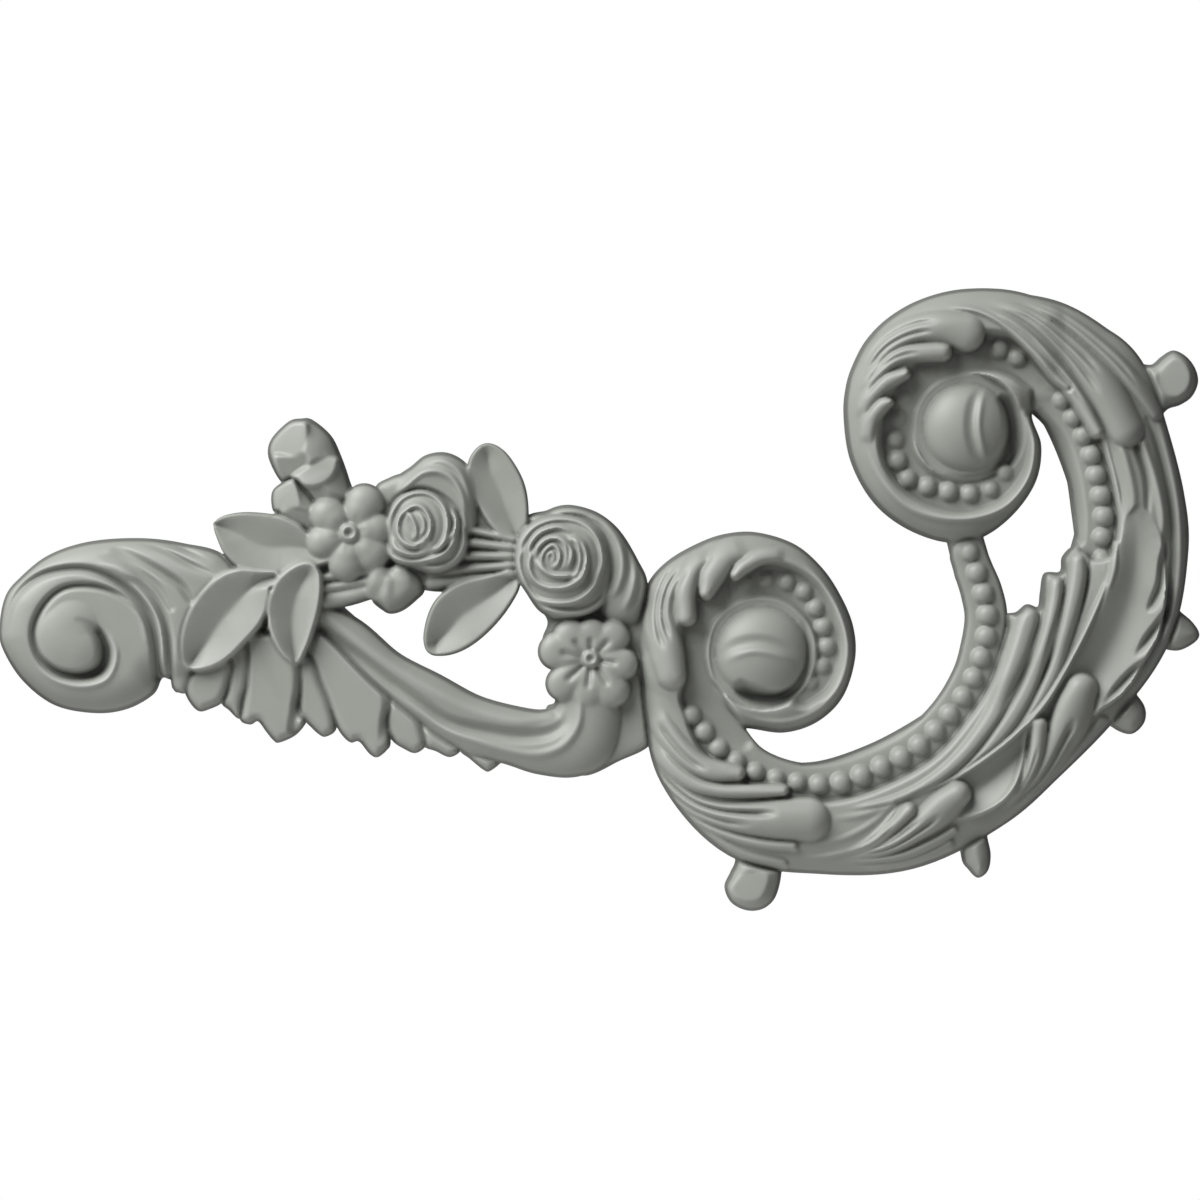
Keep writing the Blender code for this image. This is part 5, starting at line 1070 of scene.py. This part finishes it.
# %% Cut buds
def buds(r):
    """Three cut buds: each a body with flat cut faces that catch the light differently."""
    r.plate([(-158.6, 58.6), (-164.2, 68), (-165.6, 75), (-163, 81.6), (-155, 89.2),
             (-149, 90.6), (-143.4, 90), (-134.4, 82.4), (-129.6, 73), (-125, 60), (-123, 50),
             (-135, 44), (-148, 50)],
            5, 15, 17, over=True)
    faces = [
        ([(-149, 58), (-158.4, 59.6), (-162.4, 69.6), (-160, 73.4), (-148.6, 73.6), (-145, 66)],
         15.6, (0.02, 0.3)),
        ([(-160, 72.4), (-164, 73.4), (-162, 80.4), (-155, 87.6), (-147, 89), (-145, 84),
          (-149, 72.6)],
         15.4, (0.34, -0.06)),
        ([(-153, 60), (-146, 66.6), (-137, 70.6), (-130, 70), (-133, 61), (-143, 56)], 19,
         (0.0, -0.3)),
    ]
    for outline, height, lean in faces:
        r.plate(outline, height, 0.4, 2, lean=lean, over=True, edge=2.4, outline=False)
    r.plate([(-160.6, 43), (-163.4, 46), (-163.4, 54), (-158.6, 58.6), (-153, 60.8), (-148, 57),
             (-141, 48), (-138, 38), (-144, 33), (-150, 38)],
            6, 12, 10, over=True)
    r.plate([(-160.6, 44.4), (-162.6, 47), (-162.6, 54), (-158, 58), (-152.6, 60), (-149.6, 54),
             (-149.6, 45.6)],
            15, 0.4, 2, lean=(0.34, -0.04), over=True, edge=1.8, outline=False)
    r.plate([(-159, 43.6), (-149.6, 45.4), (-141, 41), (-140, 34.6), (-147, 36.4)], 14, 0.4, 2,
            lean=(0, 0.4), over=True, edge=1.8, outline=False)
    r.plate([(-113.6, 0.4), (-108.4, -5), (-104, -6.8), (-98, -5), (-91.6, 0), (-87.6, 4.8),
             (-90, 12), (-96, 17), (-108, 18), (-114, 13)],
            5, 13, 9, over=True)
    for rows in [
        [(-112.6, 2, 4, 15), (-111.6, 8, 5, 18), (-110, 14, 4.6, 18)],
        [(-99, 3, 4, 15), (-97.6, 8.6, 5, 18), (-99.6, 14, 4.6, 18)],
        [(-105, -4, 2.6, 14), (-106, 2, 3.6, 18), (-105, 9, 3.4, 18)],
    ]:
        r.bar(rows, drop=5, blend=3, outline=False)


buds(relief)
tell("cut buds")

# %% [markdown]
# ## Roses and open flowers
# An open flower is a ring of round petals about a dimpled boss. Petals are bars that widen on the
# way out, joined with a soft fillet. A rose is a dome ringed by petal rims. Every rim is a thin
# ridge over a wider hollow and fades at both ends, so the rims overlap without closing to
# circles.

# %% Roses and open flowers
HOLLOW_WIDTH = 2.4
HOLLOW_DEPTH = -0.4
RIM_LIFT = 1.4


def blossom(r, x, z, petals, boss, top, groove, drop, power):
    """An open flower: round petals about a boss with a dimple."""
    for angle, reach, wide in petals:
        ux = math.cos(math.radians(angle))
        uz = math.sin(math.radians(angle))
        out = reach - wide
        near = r.follow([(x + ux * 0.3 * out, z + uz * 0.3 * out, 0.4 * wide, top - 4.5),
                         (x + ux * 0.7 * out, z + uz * 0.7 * out, 0.86 * wide, top - 2),
                         (x + ux * out, z + uz * out, wide, top - 2)])
        bump = near.value - drop * (1 - dome(near.across, power))
        bump -= groove * np.exp(-(near.across / 0.22)**2) * smooth_step((0.97 - near.along) / 0.4)
        r.put(near, np.maximum(bump, 7), over=False, edge=1.4, blend=1.6)
    r.ball(x, z, boss, top - 4.5, squash=0.9, over=True)
    r.ball(x, z, 0.45 * boss, top - 1.4, squash=-0.9, over=True)


def rose(r, outline, low, rise, wide, rims):
    """A dome ringed by petal rims, each a thin ridge that fades out at both ends."""
    r.plate(outline, low, rise, wide, over=True, edge=2)
    for half, height, places in rims:
        fades = [0] + [1] * (len(places) - 2) + [0]
        r.line([(x, z, HOLLOW_WIDTH * half, HOLLOW_DEPTH * height * k)
                for (x, z), k in zip(places, fades)])
        r.line([(x, z, half, RIM_LIFT * height * k) for (x, z), k in zip(places, fades)])


def flowers(r):
    """Two roses with their outer petals, and two open flowers."""
    r.plate([(-111.6, 56), (-105, 61), (-97, 63.2), (-90, 60), (-90, 50), (-104, 46)], 10, 5.6,
            6, blend=2)
    r.plate([(-104, 50), (-102, 60.4), (-94, 66.8), (-87, 72.2), (-78, 73.8), (-70, 71),
             (-64, 65), (-60.6, 56), (-60.6, 46), (-62.6, 34), (-72, 30), (-90, 34)],
            7, 11, 10, blend=2)
    back_petals = [
        [(-100, 53, 2, 0), (-95, 58, 2.2, 1.6), (-88, 63.4, 2.4, 2), (-80, 64, 2.6, 2),
         (-73, 60, 2.6, 2.2), (-68, 51, 2.4, 2), (-66.6, 40, 2, 0)],
        [(-86, 69, 2, 0), (-78, 69.4, 2.4, 1.6), (-70, 64, 2.4, 1.8), (-65.4, 54, 2.2, 1.6),
         (-64, 44, 2, 0)],
    ]
    for rows in back_petals:
        r.line(rows)
    rose(r,
         [(-107, 30), (-106, 42), (-100.6, 51.4), (-91, 55.6), (-80.6, 53.4), (-72, 46.6),
          (-67, 36), (-65.6, 27), (-69.6, 18.6), (-80, 13.4), (-91, 14.8), (-101, 17.6),
          (-106, 22.6)],
         12, 13, 19,
         [(2, 2.6, [(-91, 17.6), (-82, 15.6), (-73, 18.6), (-67.6, 26), (-67.4, 36), (-69, 44)]),
          (2, 2.8,
           [(-105, 27), (-103, 21.6), (-96, 19), (-87, 19.6), (-78, 22.6), (-72.4, 29.6),
            (-71, 39), (-74, 47)]),
          (1.8, 2.8, [(-74, 46), (-71.4, 38), (-75, 30), (-80, 25)]),
          (1.9, 3,
           [(-104.6, 31), (-104, 42), (-98.6, 50.4), (-90, 53.6), (-82, 51.4), (-76.6, 44.6),
            (-75.6, 35), (-79, 27), (-84, 23.6)]),
          (1.9, 2.8, [(-84, 24), (-93, 22.4), (-101, 25.4), (-104, 32)]),
          (1.8, 3,
           [(-86, 30), (-92, 26.6), (-98, 29.4), (-100.6, 35), (-99.4, 41.4), (-95, 45.6),
            (-91, 47), (-86.6, 44.6), (-83.8, 38), (-85.6, 31), (-90, 27)]),
          (1.4, 2.2, [(-96.6, 38), (-95, 43), (-92, 38), (-91, 33), (-93, 29.6)]),
          (1.4, 2.2, [(-90, 44), (-87.6, 40), (-87, 35), (-90, 31)])])
    r.plate([(-36, 38), (-26, 45), (-16, 47.6), (-4, 45), (5, 39.6), (12, 32), (19, 20),
             (23.6, 9.6), (22, -3), (17, -12), (4, -12), (-8, 4)],
            6, 12, 11, blend=2)
    outer_petals = [
        [(-5, 43, 2.4, 0), (3, 38.4, 3, 2.4), (9.6, 29, 3.2, 2.8), (11.4, 18, 3.2, 2.6),
         (9, 7, 3, 2.2), (4, 0, 2, 0)],
        [(8, 36, 2, 0), (15.6, 25, 3, 2.2), (17.8, 14, 3, 2.4), (15.4, 2, 2.8, 2), (11, -6, 2, 0)],
        [(16, 26, 1.6, 0), (21.6, 12, 2.2, 1.8), (20.4, 0, 2.2, 1.6), (16.4, -9, 2, 0)],
        [(-34, 36, 2, 0), (-30, 40, 2.4, 1.6), (-20, 43.6, 2.6, 1.8), (-9, 44, 2.6, 1.6),
         (0, 40, 2, 0)],
    ]
    for rows in outer_petals:
        r.line(rows)
    rose(r,
         [(-42.4, 20), (-41.6, 29), (-36, 37.6), (-25, 42.4), (-12, 42), (-1, 37.4), (4.6, 29),
          (6.4, 18), (5, 7), (1, -3), (-8, -9), (-20, -10), (-30, -5.6), (-37, 4), (-41, 11)],
         12, 16, 24,
         [(2.2, 3, [(-36, 3), (-29, -3.4), (-18, -6.6), (-7, -5.6), (1.6, 0), (5, 9)]),
          (2.2, 3,
           [(-38, 26), (-40.6, 20), (-38, 10), (-32, 1), (-22, -1.6), (-11, 0), (-3, 6.6),
            (0.6, 16)]),
          (2.2, 3,
           [(-41, 22), (-38, 30.6), (-31, 37.6), (-20, 40.6), (-8.6, 38.4), (-1, 30.6),
            (1.4, 19), (-2, 9)]),
          (2, 3,
           [(-32, 26), (-35.4, 18), (-32, 9.6), (-24, 6), (-14.6, 7.4), (-8.4, 14), (-7, 22)]),
          (2, 3.2, [(-35, 20), (-35, 27), (-30, 33.6), (-21.4, 36.4), (-13, 34)]),
          (2, 3.2, [(-14, 33), (-8.4, 27.4), (-6.6, 20), (-8.4, 11), (-14, 6)]),
          (1.8, 3, [(-16, 8), (-11, 14), (-9.6, 22), (-12, 29), (-16.4, 31)]),
          (1.8, 3, [(-33, 21), (-29, 16), (-24, 12.6), (-17, 12), (-10.6, 13)]),
          (1.8, 3,
           [(-31.6, 20), (-31, 26), (-26, 30.4), (-19.6, 30.6), (-14.6, 26), (-14.4, 20),
            (-17, 15)]),
          (1.6, 2.8, [(-22, 31), (-17.6, 27), (-16.6, 21), (-19, 15)]),
          (1.5, 2.6,
           [(-27, 16), (-29, 20), (-27, 25), (-23, 27.4), (-20, 24), (-20.6, 18.6), (-24, 15.4)]),
          (1.2, 2, [(-26, 18), (-26, 22), (-23.6, 24), (-22.4, 21), (-24, 18)])])
    blossom(r, -124.5, 33.5,
            [(140, 23.5, 9.4), (199, 22.4, 8.6), (64, 26.4, 9.8), (8, 21.6, 8.8),
             (-97, 24.4, 9.6), (-42, 24, 9.4)],
            5, 23, 0, 8, 2.1)
    blossom(r, -4.5, -29,
            [(350, 23.6, 8.6), (45, 23.6, 8.6), (90, 20.4, 8.6), (132, 23.6, 9.4),
             (168, 26.8, 9.6), (222, 27.4, 9), (303, 27.4, 9.6), (264, 25.4, 8.6)],
            4.6, 23, 2, 6.5, 2.6)


flowers(relief)
tell("roses and open flowers")

# %% [markdown]
# ## Paint in the corners
# Three coats of paint take the edge off every arris. A Gaussian mean over 0.6 mm, first along
# the columns and then along the rows, does the same.

# %% Paint in the corners
SOFT_REACH = 0.6


def soften(r):
    """Paint and casting round every arris: a light mean over the neighbours."""
    reach = SOFT_REACH / r.step
    offsets = np.arange(-math.ceil(3 * reach), math.ceil(3 * reach) + 1)
    weights = np.exp(-0.5 * (offsets / reach)**2)
    for axis in (0, 1):
        shares = zip(offsets, weights / weights.sum())
        r.height = sum(share * np.roll(r.height, k, axis) for k, share in shares)


soften(relief)
tell("paint in the corners")

# %% [markdown]
# ## Painted shade in the hollows, painted highlight on the lips
# The paint colour is made darker where the skin is sunk, as painted shade, and paler where it stands
# proud, as a painted highlight. For that the shader
# needs to know what is a hollow: the height minus the mean height around it, once over a wide
# window for channels and once over a close one for creases. The last 3 mm before the outline
# get painted shade too. The result is a number on every point.

# %% Painted shade and highlight value of every place
WIDE_REACH = 12
CLOSE_REACH = 4
WIDE_SPAN = 26
CLOSE_SPAN = 6
RIM_WIDTH = 3.0
RIM_SHADE = 0.3
NO_DIVISION = 1e-6


def box_sum(field, reach):
    """The sum over a square window, from running sums along columns and then rows."""
    size = 2 * reach + 1
    for _ in range(2):
        total = np.cumsum(np.pad(field, ((reach + 1, reach), (0, 0))), axis=0)
        field = (total[size:] - total[:-size]).T
    return field


def above_mean(reach):
    """Height minus the mean height of the covered places in the window."""
    covered = (relief.inside > 0).astype(float)
    total = box_sum(relief.height * covered, reach)
    return relief.height - total / np.maximum(box_sum(covered, reach), NO_DIVISION)


# Painted shade: the 3 mm strip just inside the outline is darkened.
rim_shade = RIM_SHADE * (1 - smooth_step(relief.inside / RIM_WIDTH))
# Painted shade below the mean height around a place, painted highlight above it.
painted_shading_field = 0.5 + above_mean(WIDE_REACH) / WIDE_SPAN + above_mean(CLOSE_REACH) / CLOSE_SPAN
painted_shading_field = np.clip(painted_shading_field - rim_shade, 0, 1)
print("half of the skin is above", round(float(np.median(painted_shading_field[relief.inside > 0])), 2))

# %% [markdown]
# ## From height field to closed mesh
# A Displace modifier could lift a plane, but it knows nothing of an outline with holes. So the
# grid cells inside the outline become faces, their rim is moved onto the outline, a wall goes
# down to the back plane and the back is filled flat. A Decimate modifier then takes points
# from where the skin is plain and leaves them on the sharp lips.

# %% Cells inside the outline
def covered_cells(inside):
    """True where the mean of a cell's four corners is inside, with no cells that touch only at
    a corner: such a pair gets both of its neighbours."""
    middle = (inside[:-1, :-1] + inside[:-1, 1:] + inside[1:, :-1] + inside[1:, 1:]) / 4
    cells = middle > 0
    for _ in range(3):
        a, b, c, d = cells[:-1, :-1], cells[:-1, 1:], cells[1:, :-1], cells[1:, 1:]
        crossed = (a & d & ~b & ~c) | (b & c & ~a & ~d)
        for i in (0, 1):
            for j in (0, 1):
                cells[i:i - 1 or None, j:j - 1 or None] |= crossed
    return cells


def sample(field, x, z):
    """The field between grid points, weighted by the four around each place."""
    col = np.clip((x - relief.x[0]) / relief.step, 0, len(relief.x) - 1.001)
    row = np.clip((z - relief.z[0]) / relief.step, 0, len(relief.z) - 1.001)
    j, i = col.astype(int), row.astype(int)
    u, v = col - j, row - i
    low = field[i, j] * (1 - u) + field[i, j + 1] * u
    high = field[i + 1, j] * (1 - u) + field[i + 1, j + 1] * u
    return low * (1 - v) + high * v


cells = covered_cells(relief.inside)
print(int(cells.sum()), "cells inside the outline")

# %% Points, faces and the wall
padded = np.pad(cells, 1)
around = [padded[i:i + cells.shape[0] + 1, j:j + cells.shape[1] + 1]
          for i in (0, 1) for j in (0, 1)]
used = np.any(around, axis=0)
rim = used & ~np.all(around, axis=0)
row, col = np.nonzero(used)
index = np.full(used.shape, -1)
index[row, col] = np.arange(len(row))

x = relief.x[col].copy()
z = relief.z[row].copy()
slope_z, slope_x = np.gradient(relief.inside, relief.step)
on_rim = rim[row, col]
FLATTEST_SLOPE = 0.25
for _ in range(4):
    gx, gz = sample(slope_x, x, z), sample(slope_z, x, z)
    pull = np.where(on_rim,
                    sample(relief.inside, x, z) / np.maximum(gx**2 + gz**2, FLATTEST_SLOPE), 0)
    x, z = x - pull * gx, z - pull * gz
height = sample(relief.height, x, z)
# Painted shade and painted highlight, sampled at every point.
painted_shading = sample(painted_shading_field, x, z)

i, j = np.nonzero(cells)
corners = [index[i, j], index[i, j + 1], index[i + 1, j + 1], index[i + 1, j]]
quads = np.stack(corners, 1)
sides = np.concatenate([quads[:, [k, (k + 1) % 4]] for k in range(4)])
both_ways = len(used.flat)
key = sides[:, 0] * both_ways + sides[:, 1]
back_key = sides[:, 1] * both_ways + sides[:, 0]
open_sides = sides[~np.isin(key, back_key)]
back_of = np.full(len(row), -1)
rim_points = np.unique(open_sides)
back_of[rim_points] = len(row) + np.arange(len(rim_points))
walls = np.stack([open_sides[:, 1], open_sides[:, 0], back_of[open_sides[:, 0]],
                  back_of[open_sides[:, 1]]],
                 1)
print(len(quads), "faces on the front,", len(walls), "in the wall")

# %% [markdown]
# The back of a casting is the open side of its mould, struck off flat. Blender's triangle fill
# closes it from the wall's lower edge, holes and all.

# %% The mesh, closed at the back
PROJECTION = CAD_HIGH[1] - CAD_LOW[1]
BACK_PLANE = CAD_HIGH[1]


def fit(value, drawn_low, drawn_high, low, high):
    """Drawn millimetres to metres, so that the drawing's ends meet the solid's ends."""
    return low + (value - drawn_low) * (high - low) / (drawn_high - drawn_low)


across = fit(x, x.min(), x.max(), CAD_LOW[0], CAD_HIGH[0])
up = fit(z, z.min(), z.max(), CAD_LOW[2], CAD_HIGH[2])
forward = BACK_PLANE - PROJECTION * height / height.max()
front_points = np.stack([across, forward, up], 1)
back_points = front_points[rim_points] * [1, 0, 1] + [0, BACK_PLANE, 0]
points = np.vstack([front_points, back_points])
faces = np.vstack([quads, walls])

mesh = bpy.data.meshes.new("carved_onlay")
mesh.from_pydata(points.tolist(), [], faces.tolist())
# This attribute carries the painted shade and highlight to the shader.
layer = mesh.attributes.new("painted_shading", "FLOAT", "POINT")
layer.data.foreach_set("value", np.concatenate([painted_shading, np.zeros(len(rim_points))]))
shell = bmesh.new()
shell.from_mesh(mesh)
lower_edge = [edge for edge in shell.edges if edge.is_boundary]
bmesh.ops.triangle_fill(shell, edges=lower_edge, use_beauty=True, normal=(0, 1, 0))
bmesh.ops.recalc_face_normals(shell, faces=shell.faces[:])
if shell.calc_volume(signed=True) < 0:
    bmesh.ops.reverse_faces(shell, faces=shell.faces[:])
left_open = sum(edge.is_boundary for edge in shell.edges)
shell.to_mesh(mesh)
shell.free()
print("edges left open at the back:", left_open)

# %% Fewer points where the skin is plain
TRIANGLES = 190000
SHARP_DEGREES = 70
carving = bpy.data.objects.new("carved_onlay", mesh)
bpy.context.scene.collection.objects.link(carving)
fewer = carving.modifiers.new("fewer points", "DECIMATE")
fewer.ratio = TRIANGLES / sum(len(face.vertices) - 2 for face in mesh.polygons)
evaluated = carving.evaluated_get(bpy.context.evaluated_depsgraph_get())
fine = bpy.data.meshes.new_from_object(evaluated)
carving.modifiers.clear()
carving.data = fine
fine.shade_smooth()
fine.set_sharp_from_angle(angle=math.radians(SHARP_DEGREES))
print(len(fine.polygons), "triangles in the finished skin")

# %% [markdown]
# ## The paint
# The casting comes primed and painted in a satin grey green. Sprayed paint is never quite
# even: its tone wanders a little and it has a faint orange-peel grain. On top of that the colour
# carries painted shade in the hollows and a painted highlight on the lips. One Principled shader
# with noise and the painted shading attribute gives all of that, and it is the same from every side.

# %% The satin paint
# The dark colour is painted shade for the hollows, the pale one a painted highlight for the lips;
# the middle one is the paint itself.
PAINT_MID = (0.335, 0.345, 0.315, 1)
PAINT_SHADED = (0.170, 0.175, 0.160, 1)
PAINT_HIGHLIT = (0.415, 0.422, 0.399, 1)
SHADED_ENDS, MID_AT, HIGHLIT_STARTS = 0.06, 0.58, 1.0
PAINT_IOR = 1.46
CLOUDS_PER_METRE = 60
CLOUD_DETAIL = 5
CLOUD_SHARE = 0.16
GLOSSIEST, DULLEST = 0.42, 0.52
GRAINS_PER_METRE = 900
GRAIN_DETAIL = 3
GRAIN_STRENGTH = 0.12
GRAIN_HEIGHT = 0.0003


def satin_paint():
    """Colour = ramp from painted shade to painted highlight over the painted shading attribute, plus
    a faint cloud; bump = fine grain.
    """
    paint = bpy.data.materials.new("satin_paint")
    paint.use_nodes = True
    nodes, links = paint.node_tree.nodes, paint.node_tree.links
    shader = nodes["Principled BSDF"]
    shader.inputs["Metallic"].default_value = 0
    shader.inputs["IOR"].default_value = PAINT_IOR
    place = nodes.new("ShaderNodeTexCoord")
    # Reads the painted shade and highlight value of each point.
    painted_shading_node = nodes.new("ShaderNodeAttribute")
    painted_shading_node.attribute_name = "painted_shading"
    cloud = nodes.new("ShaderNodeTexNoise")
    cloud.inputs["Scale"].default_value = CLOUDS_PER_METRE
    cloud.inputs["Detail"].default_value = CLOUD_DETAIL
    links.new(place.outputs["Object"], cloud.inputs["Vector"])
    mix = nodes.new("ShaderNodeMath")
    mix.operation = "MULTIPLY_ADD"
    links.new(cloud.outputs["Fac"], mix.inputs[0])
    mix.inputs[1].default_value = CLOUD_SHARE
    links.new(painted_shading_node.outputs["Fac"], mix.inputs[2])
    ramp = nodes.new("ShaderNodeValToRGB")
    ramp.color_ramp.interpolation = "EASE"
    ramp.color_ramp.elements[0].position = SHADED_ENDS
    ramp.color_ramp.elements[0].color = PAINT_SHADED
    ramp.color_ramp.elements[1].position = HIGHLIT_STARTS
    ramp.color_ramp.elements[1].color = PAINT_HIGHLIT
    middle = ramp.color_ramp.elements.new(MID_AT)
    middle.color = PAINT_MID
    links.new(mix.outputs[0], ramp.inputs["Fac"])
    links.new(ramp.outputs["Color"], shader.inputs["Base Color"])
    gloss = nodes.new("ShaderNodeMapRange")
    gloss.inputs["To Min"].default_value = GLOSSIEST
    gloss.inputs["To Max"].default_value = DULLEST
    links.new(cloud.outputs["Fac"], gloss.inputs["Value"])
    links.new(gloss.outputs["Result"], shader.inputs["Roughness"])
    grain = nodes.new("ShaderNodeTexNoise")
    grain.inputs["Scale"].default_value = GRAINS_PER_METRE
    grain.inputs["Detail"].default_value = GRAIN_DETAIL
    links.new(place.outputs["Object"], grain.inputs["Vector"])
    bump = nodes.new("ShaderNodeBump")
    bump.inputs["Strength"].default_value = GRAIN_STRENGTH
    bump.inputs["Distance"].default_value = GRAIN_HEIGHT
    links.new(grain.outputs["Fac"], bump.inputs["Height"])
    links.new(bump.outputs["Normal"], shader.inputs["Normal"])
    return paint


carving.data.materials.clear()
carving.data.materials.append(satin_paint())
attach(carving, "root")
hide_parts("scroll_onlay")
print("painted", carving.name)

# %% [markdown]
# ## Floor, light and camera
# The onlay is held at its back, so nothing stands on the floor: it is only a pale disc below.
# One large soft lamp from the upper left models the carving, as in a product picture, and the
# white surroundings fill the shadows. The camera looks straight at the face through a long
# lens, so that the outline is drawn nearly without perspective.

# %% The pale floor
FLOOR_RADIUS = 0.55
FLOOR_DROP = 0.40
FLOOR_SIDES = 96
FLOOR_WHITE = (0.8, 0.8, 0.79, 1)
FLOOR_ROUGHNESS = 0.6


def plain_material(name, colour, roughness):
    """One even colour and one roughness on the plain shader."""
    material = bpy.data.materials.new(name)
    material.use_nodes = True
    shader = material.node_tree.nodes["Principled BSDF"]
    shader.inputs["Base Color"].default_value = colour
    shader.inputs["Roughness"].default_value = roughness
    return material


disc = bmesh.new()
bmesh.ops.create_circle(disc, cap_ends=True, segments=FLOOR_SIDES, radius=FLOOR_RADIUS)
bmesh.ops.translate(disc, verts=disc.verts[:], vec=(0, 0, -FLOOR_DROP))
floor_mesh = bpy.data.meshes.new("floor")
disc.to_mesh(floor_mesh)
disc.free()
floor = bpy.data.objects.new("floor", floor_mesh)
bpy.context.scene.collection.objects.link(floor)
floor.data.materials.append(plain_material("pale_floor", FLOOR_WHITE, FLOOR_ROUGHNESS))
floor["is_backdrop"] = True
print("floor", FLOOR_DROP, "m below the middle")

# %% The white surroundings
SURROUND_LIGHT = 0.14


def surroundings():
    """White where the camera looks past the onlay, and dimmer as a light on it."""
    world = bpy.data.worlds.new("white_surroundings")
    world.use_nodes = True
    nodes, links = world.node_tree.nodes, world.node_tree.links
    background = nodes["Background"]
    background.inputs["Color"].default_value = (1, 1, 1, 1)
    path = nodes.new("ShaderNodeLightPath")
    strength = nodes.new("ShaderNodeMapRange")
    strength.inputs["To Min"].default_value = SURROUND_LIGHT
    strength.inputs["To Max"].default_value = 1.0
    links.new(path.outputs["Is Camera Ray"], strength.inputs["Value"])
    links.new(strength.outputs["Result"], background.inputs["Strength"])
    return world


bpy.context.scene.world = surroundings()
bpy.context.scene.view_settings.view_transform = "Standard"

# %% The soft lamp
LAMP_PLACE = (-1.5, -1.3, 1.7)
LAMP_SIZE = 2.0
LAMP_WATTS = 104


def soft_lamp(name, place, size, watts):
    """A square lamp at a place, turned so that it shines at the middle of the onlay."""
    light = bpy.data.lights.new(name, "AREA")
    light.size = size
    light.energy = watts
    lamp = bpy.data.objects.new(name, light)
    bpy.context.scene.collection.objects.link(lamp)
    lamp.location = place
    reach = math.hypot(place[0], place[1])
    lamp.rotation_euler = (math.atan2(reach, place[2]), 0, math.atan2(place[0], -place[1]))
    print(name, "shines from", place)
    return lamp


soft_lamp("key_lamp", LAMP_PLACE, LAMP_SIZE, LAMP_WATTS)

# %% The camera
FRAME_WIDTH = 0.600
LENS = 200
SENSOR = 36
camera_data = bpy.data.cameras.new("camera")
camera_data.lens = LENS
camera_data.sensor_width = SENSOR
distance = FRAME_WIDTH * LENS / SENSOR
camera_data.clip_end = 4 * distance
camera = bpy.data.objects.new("camera", camera_data)
bpy.context.scene.collection.objects.link(camera)
camera.location = (0, -distance, 0)
camera.rotation_euler = (math.pi / 2, 0, 0)
bpy.context.scene.camera = camera
print("camera", round(distance, 3), "m in front of the back plane")
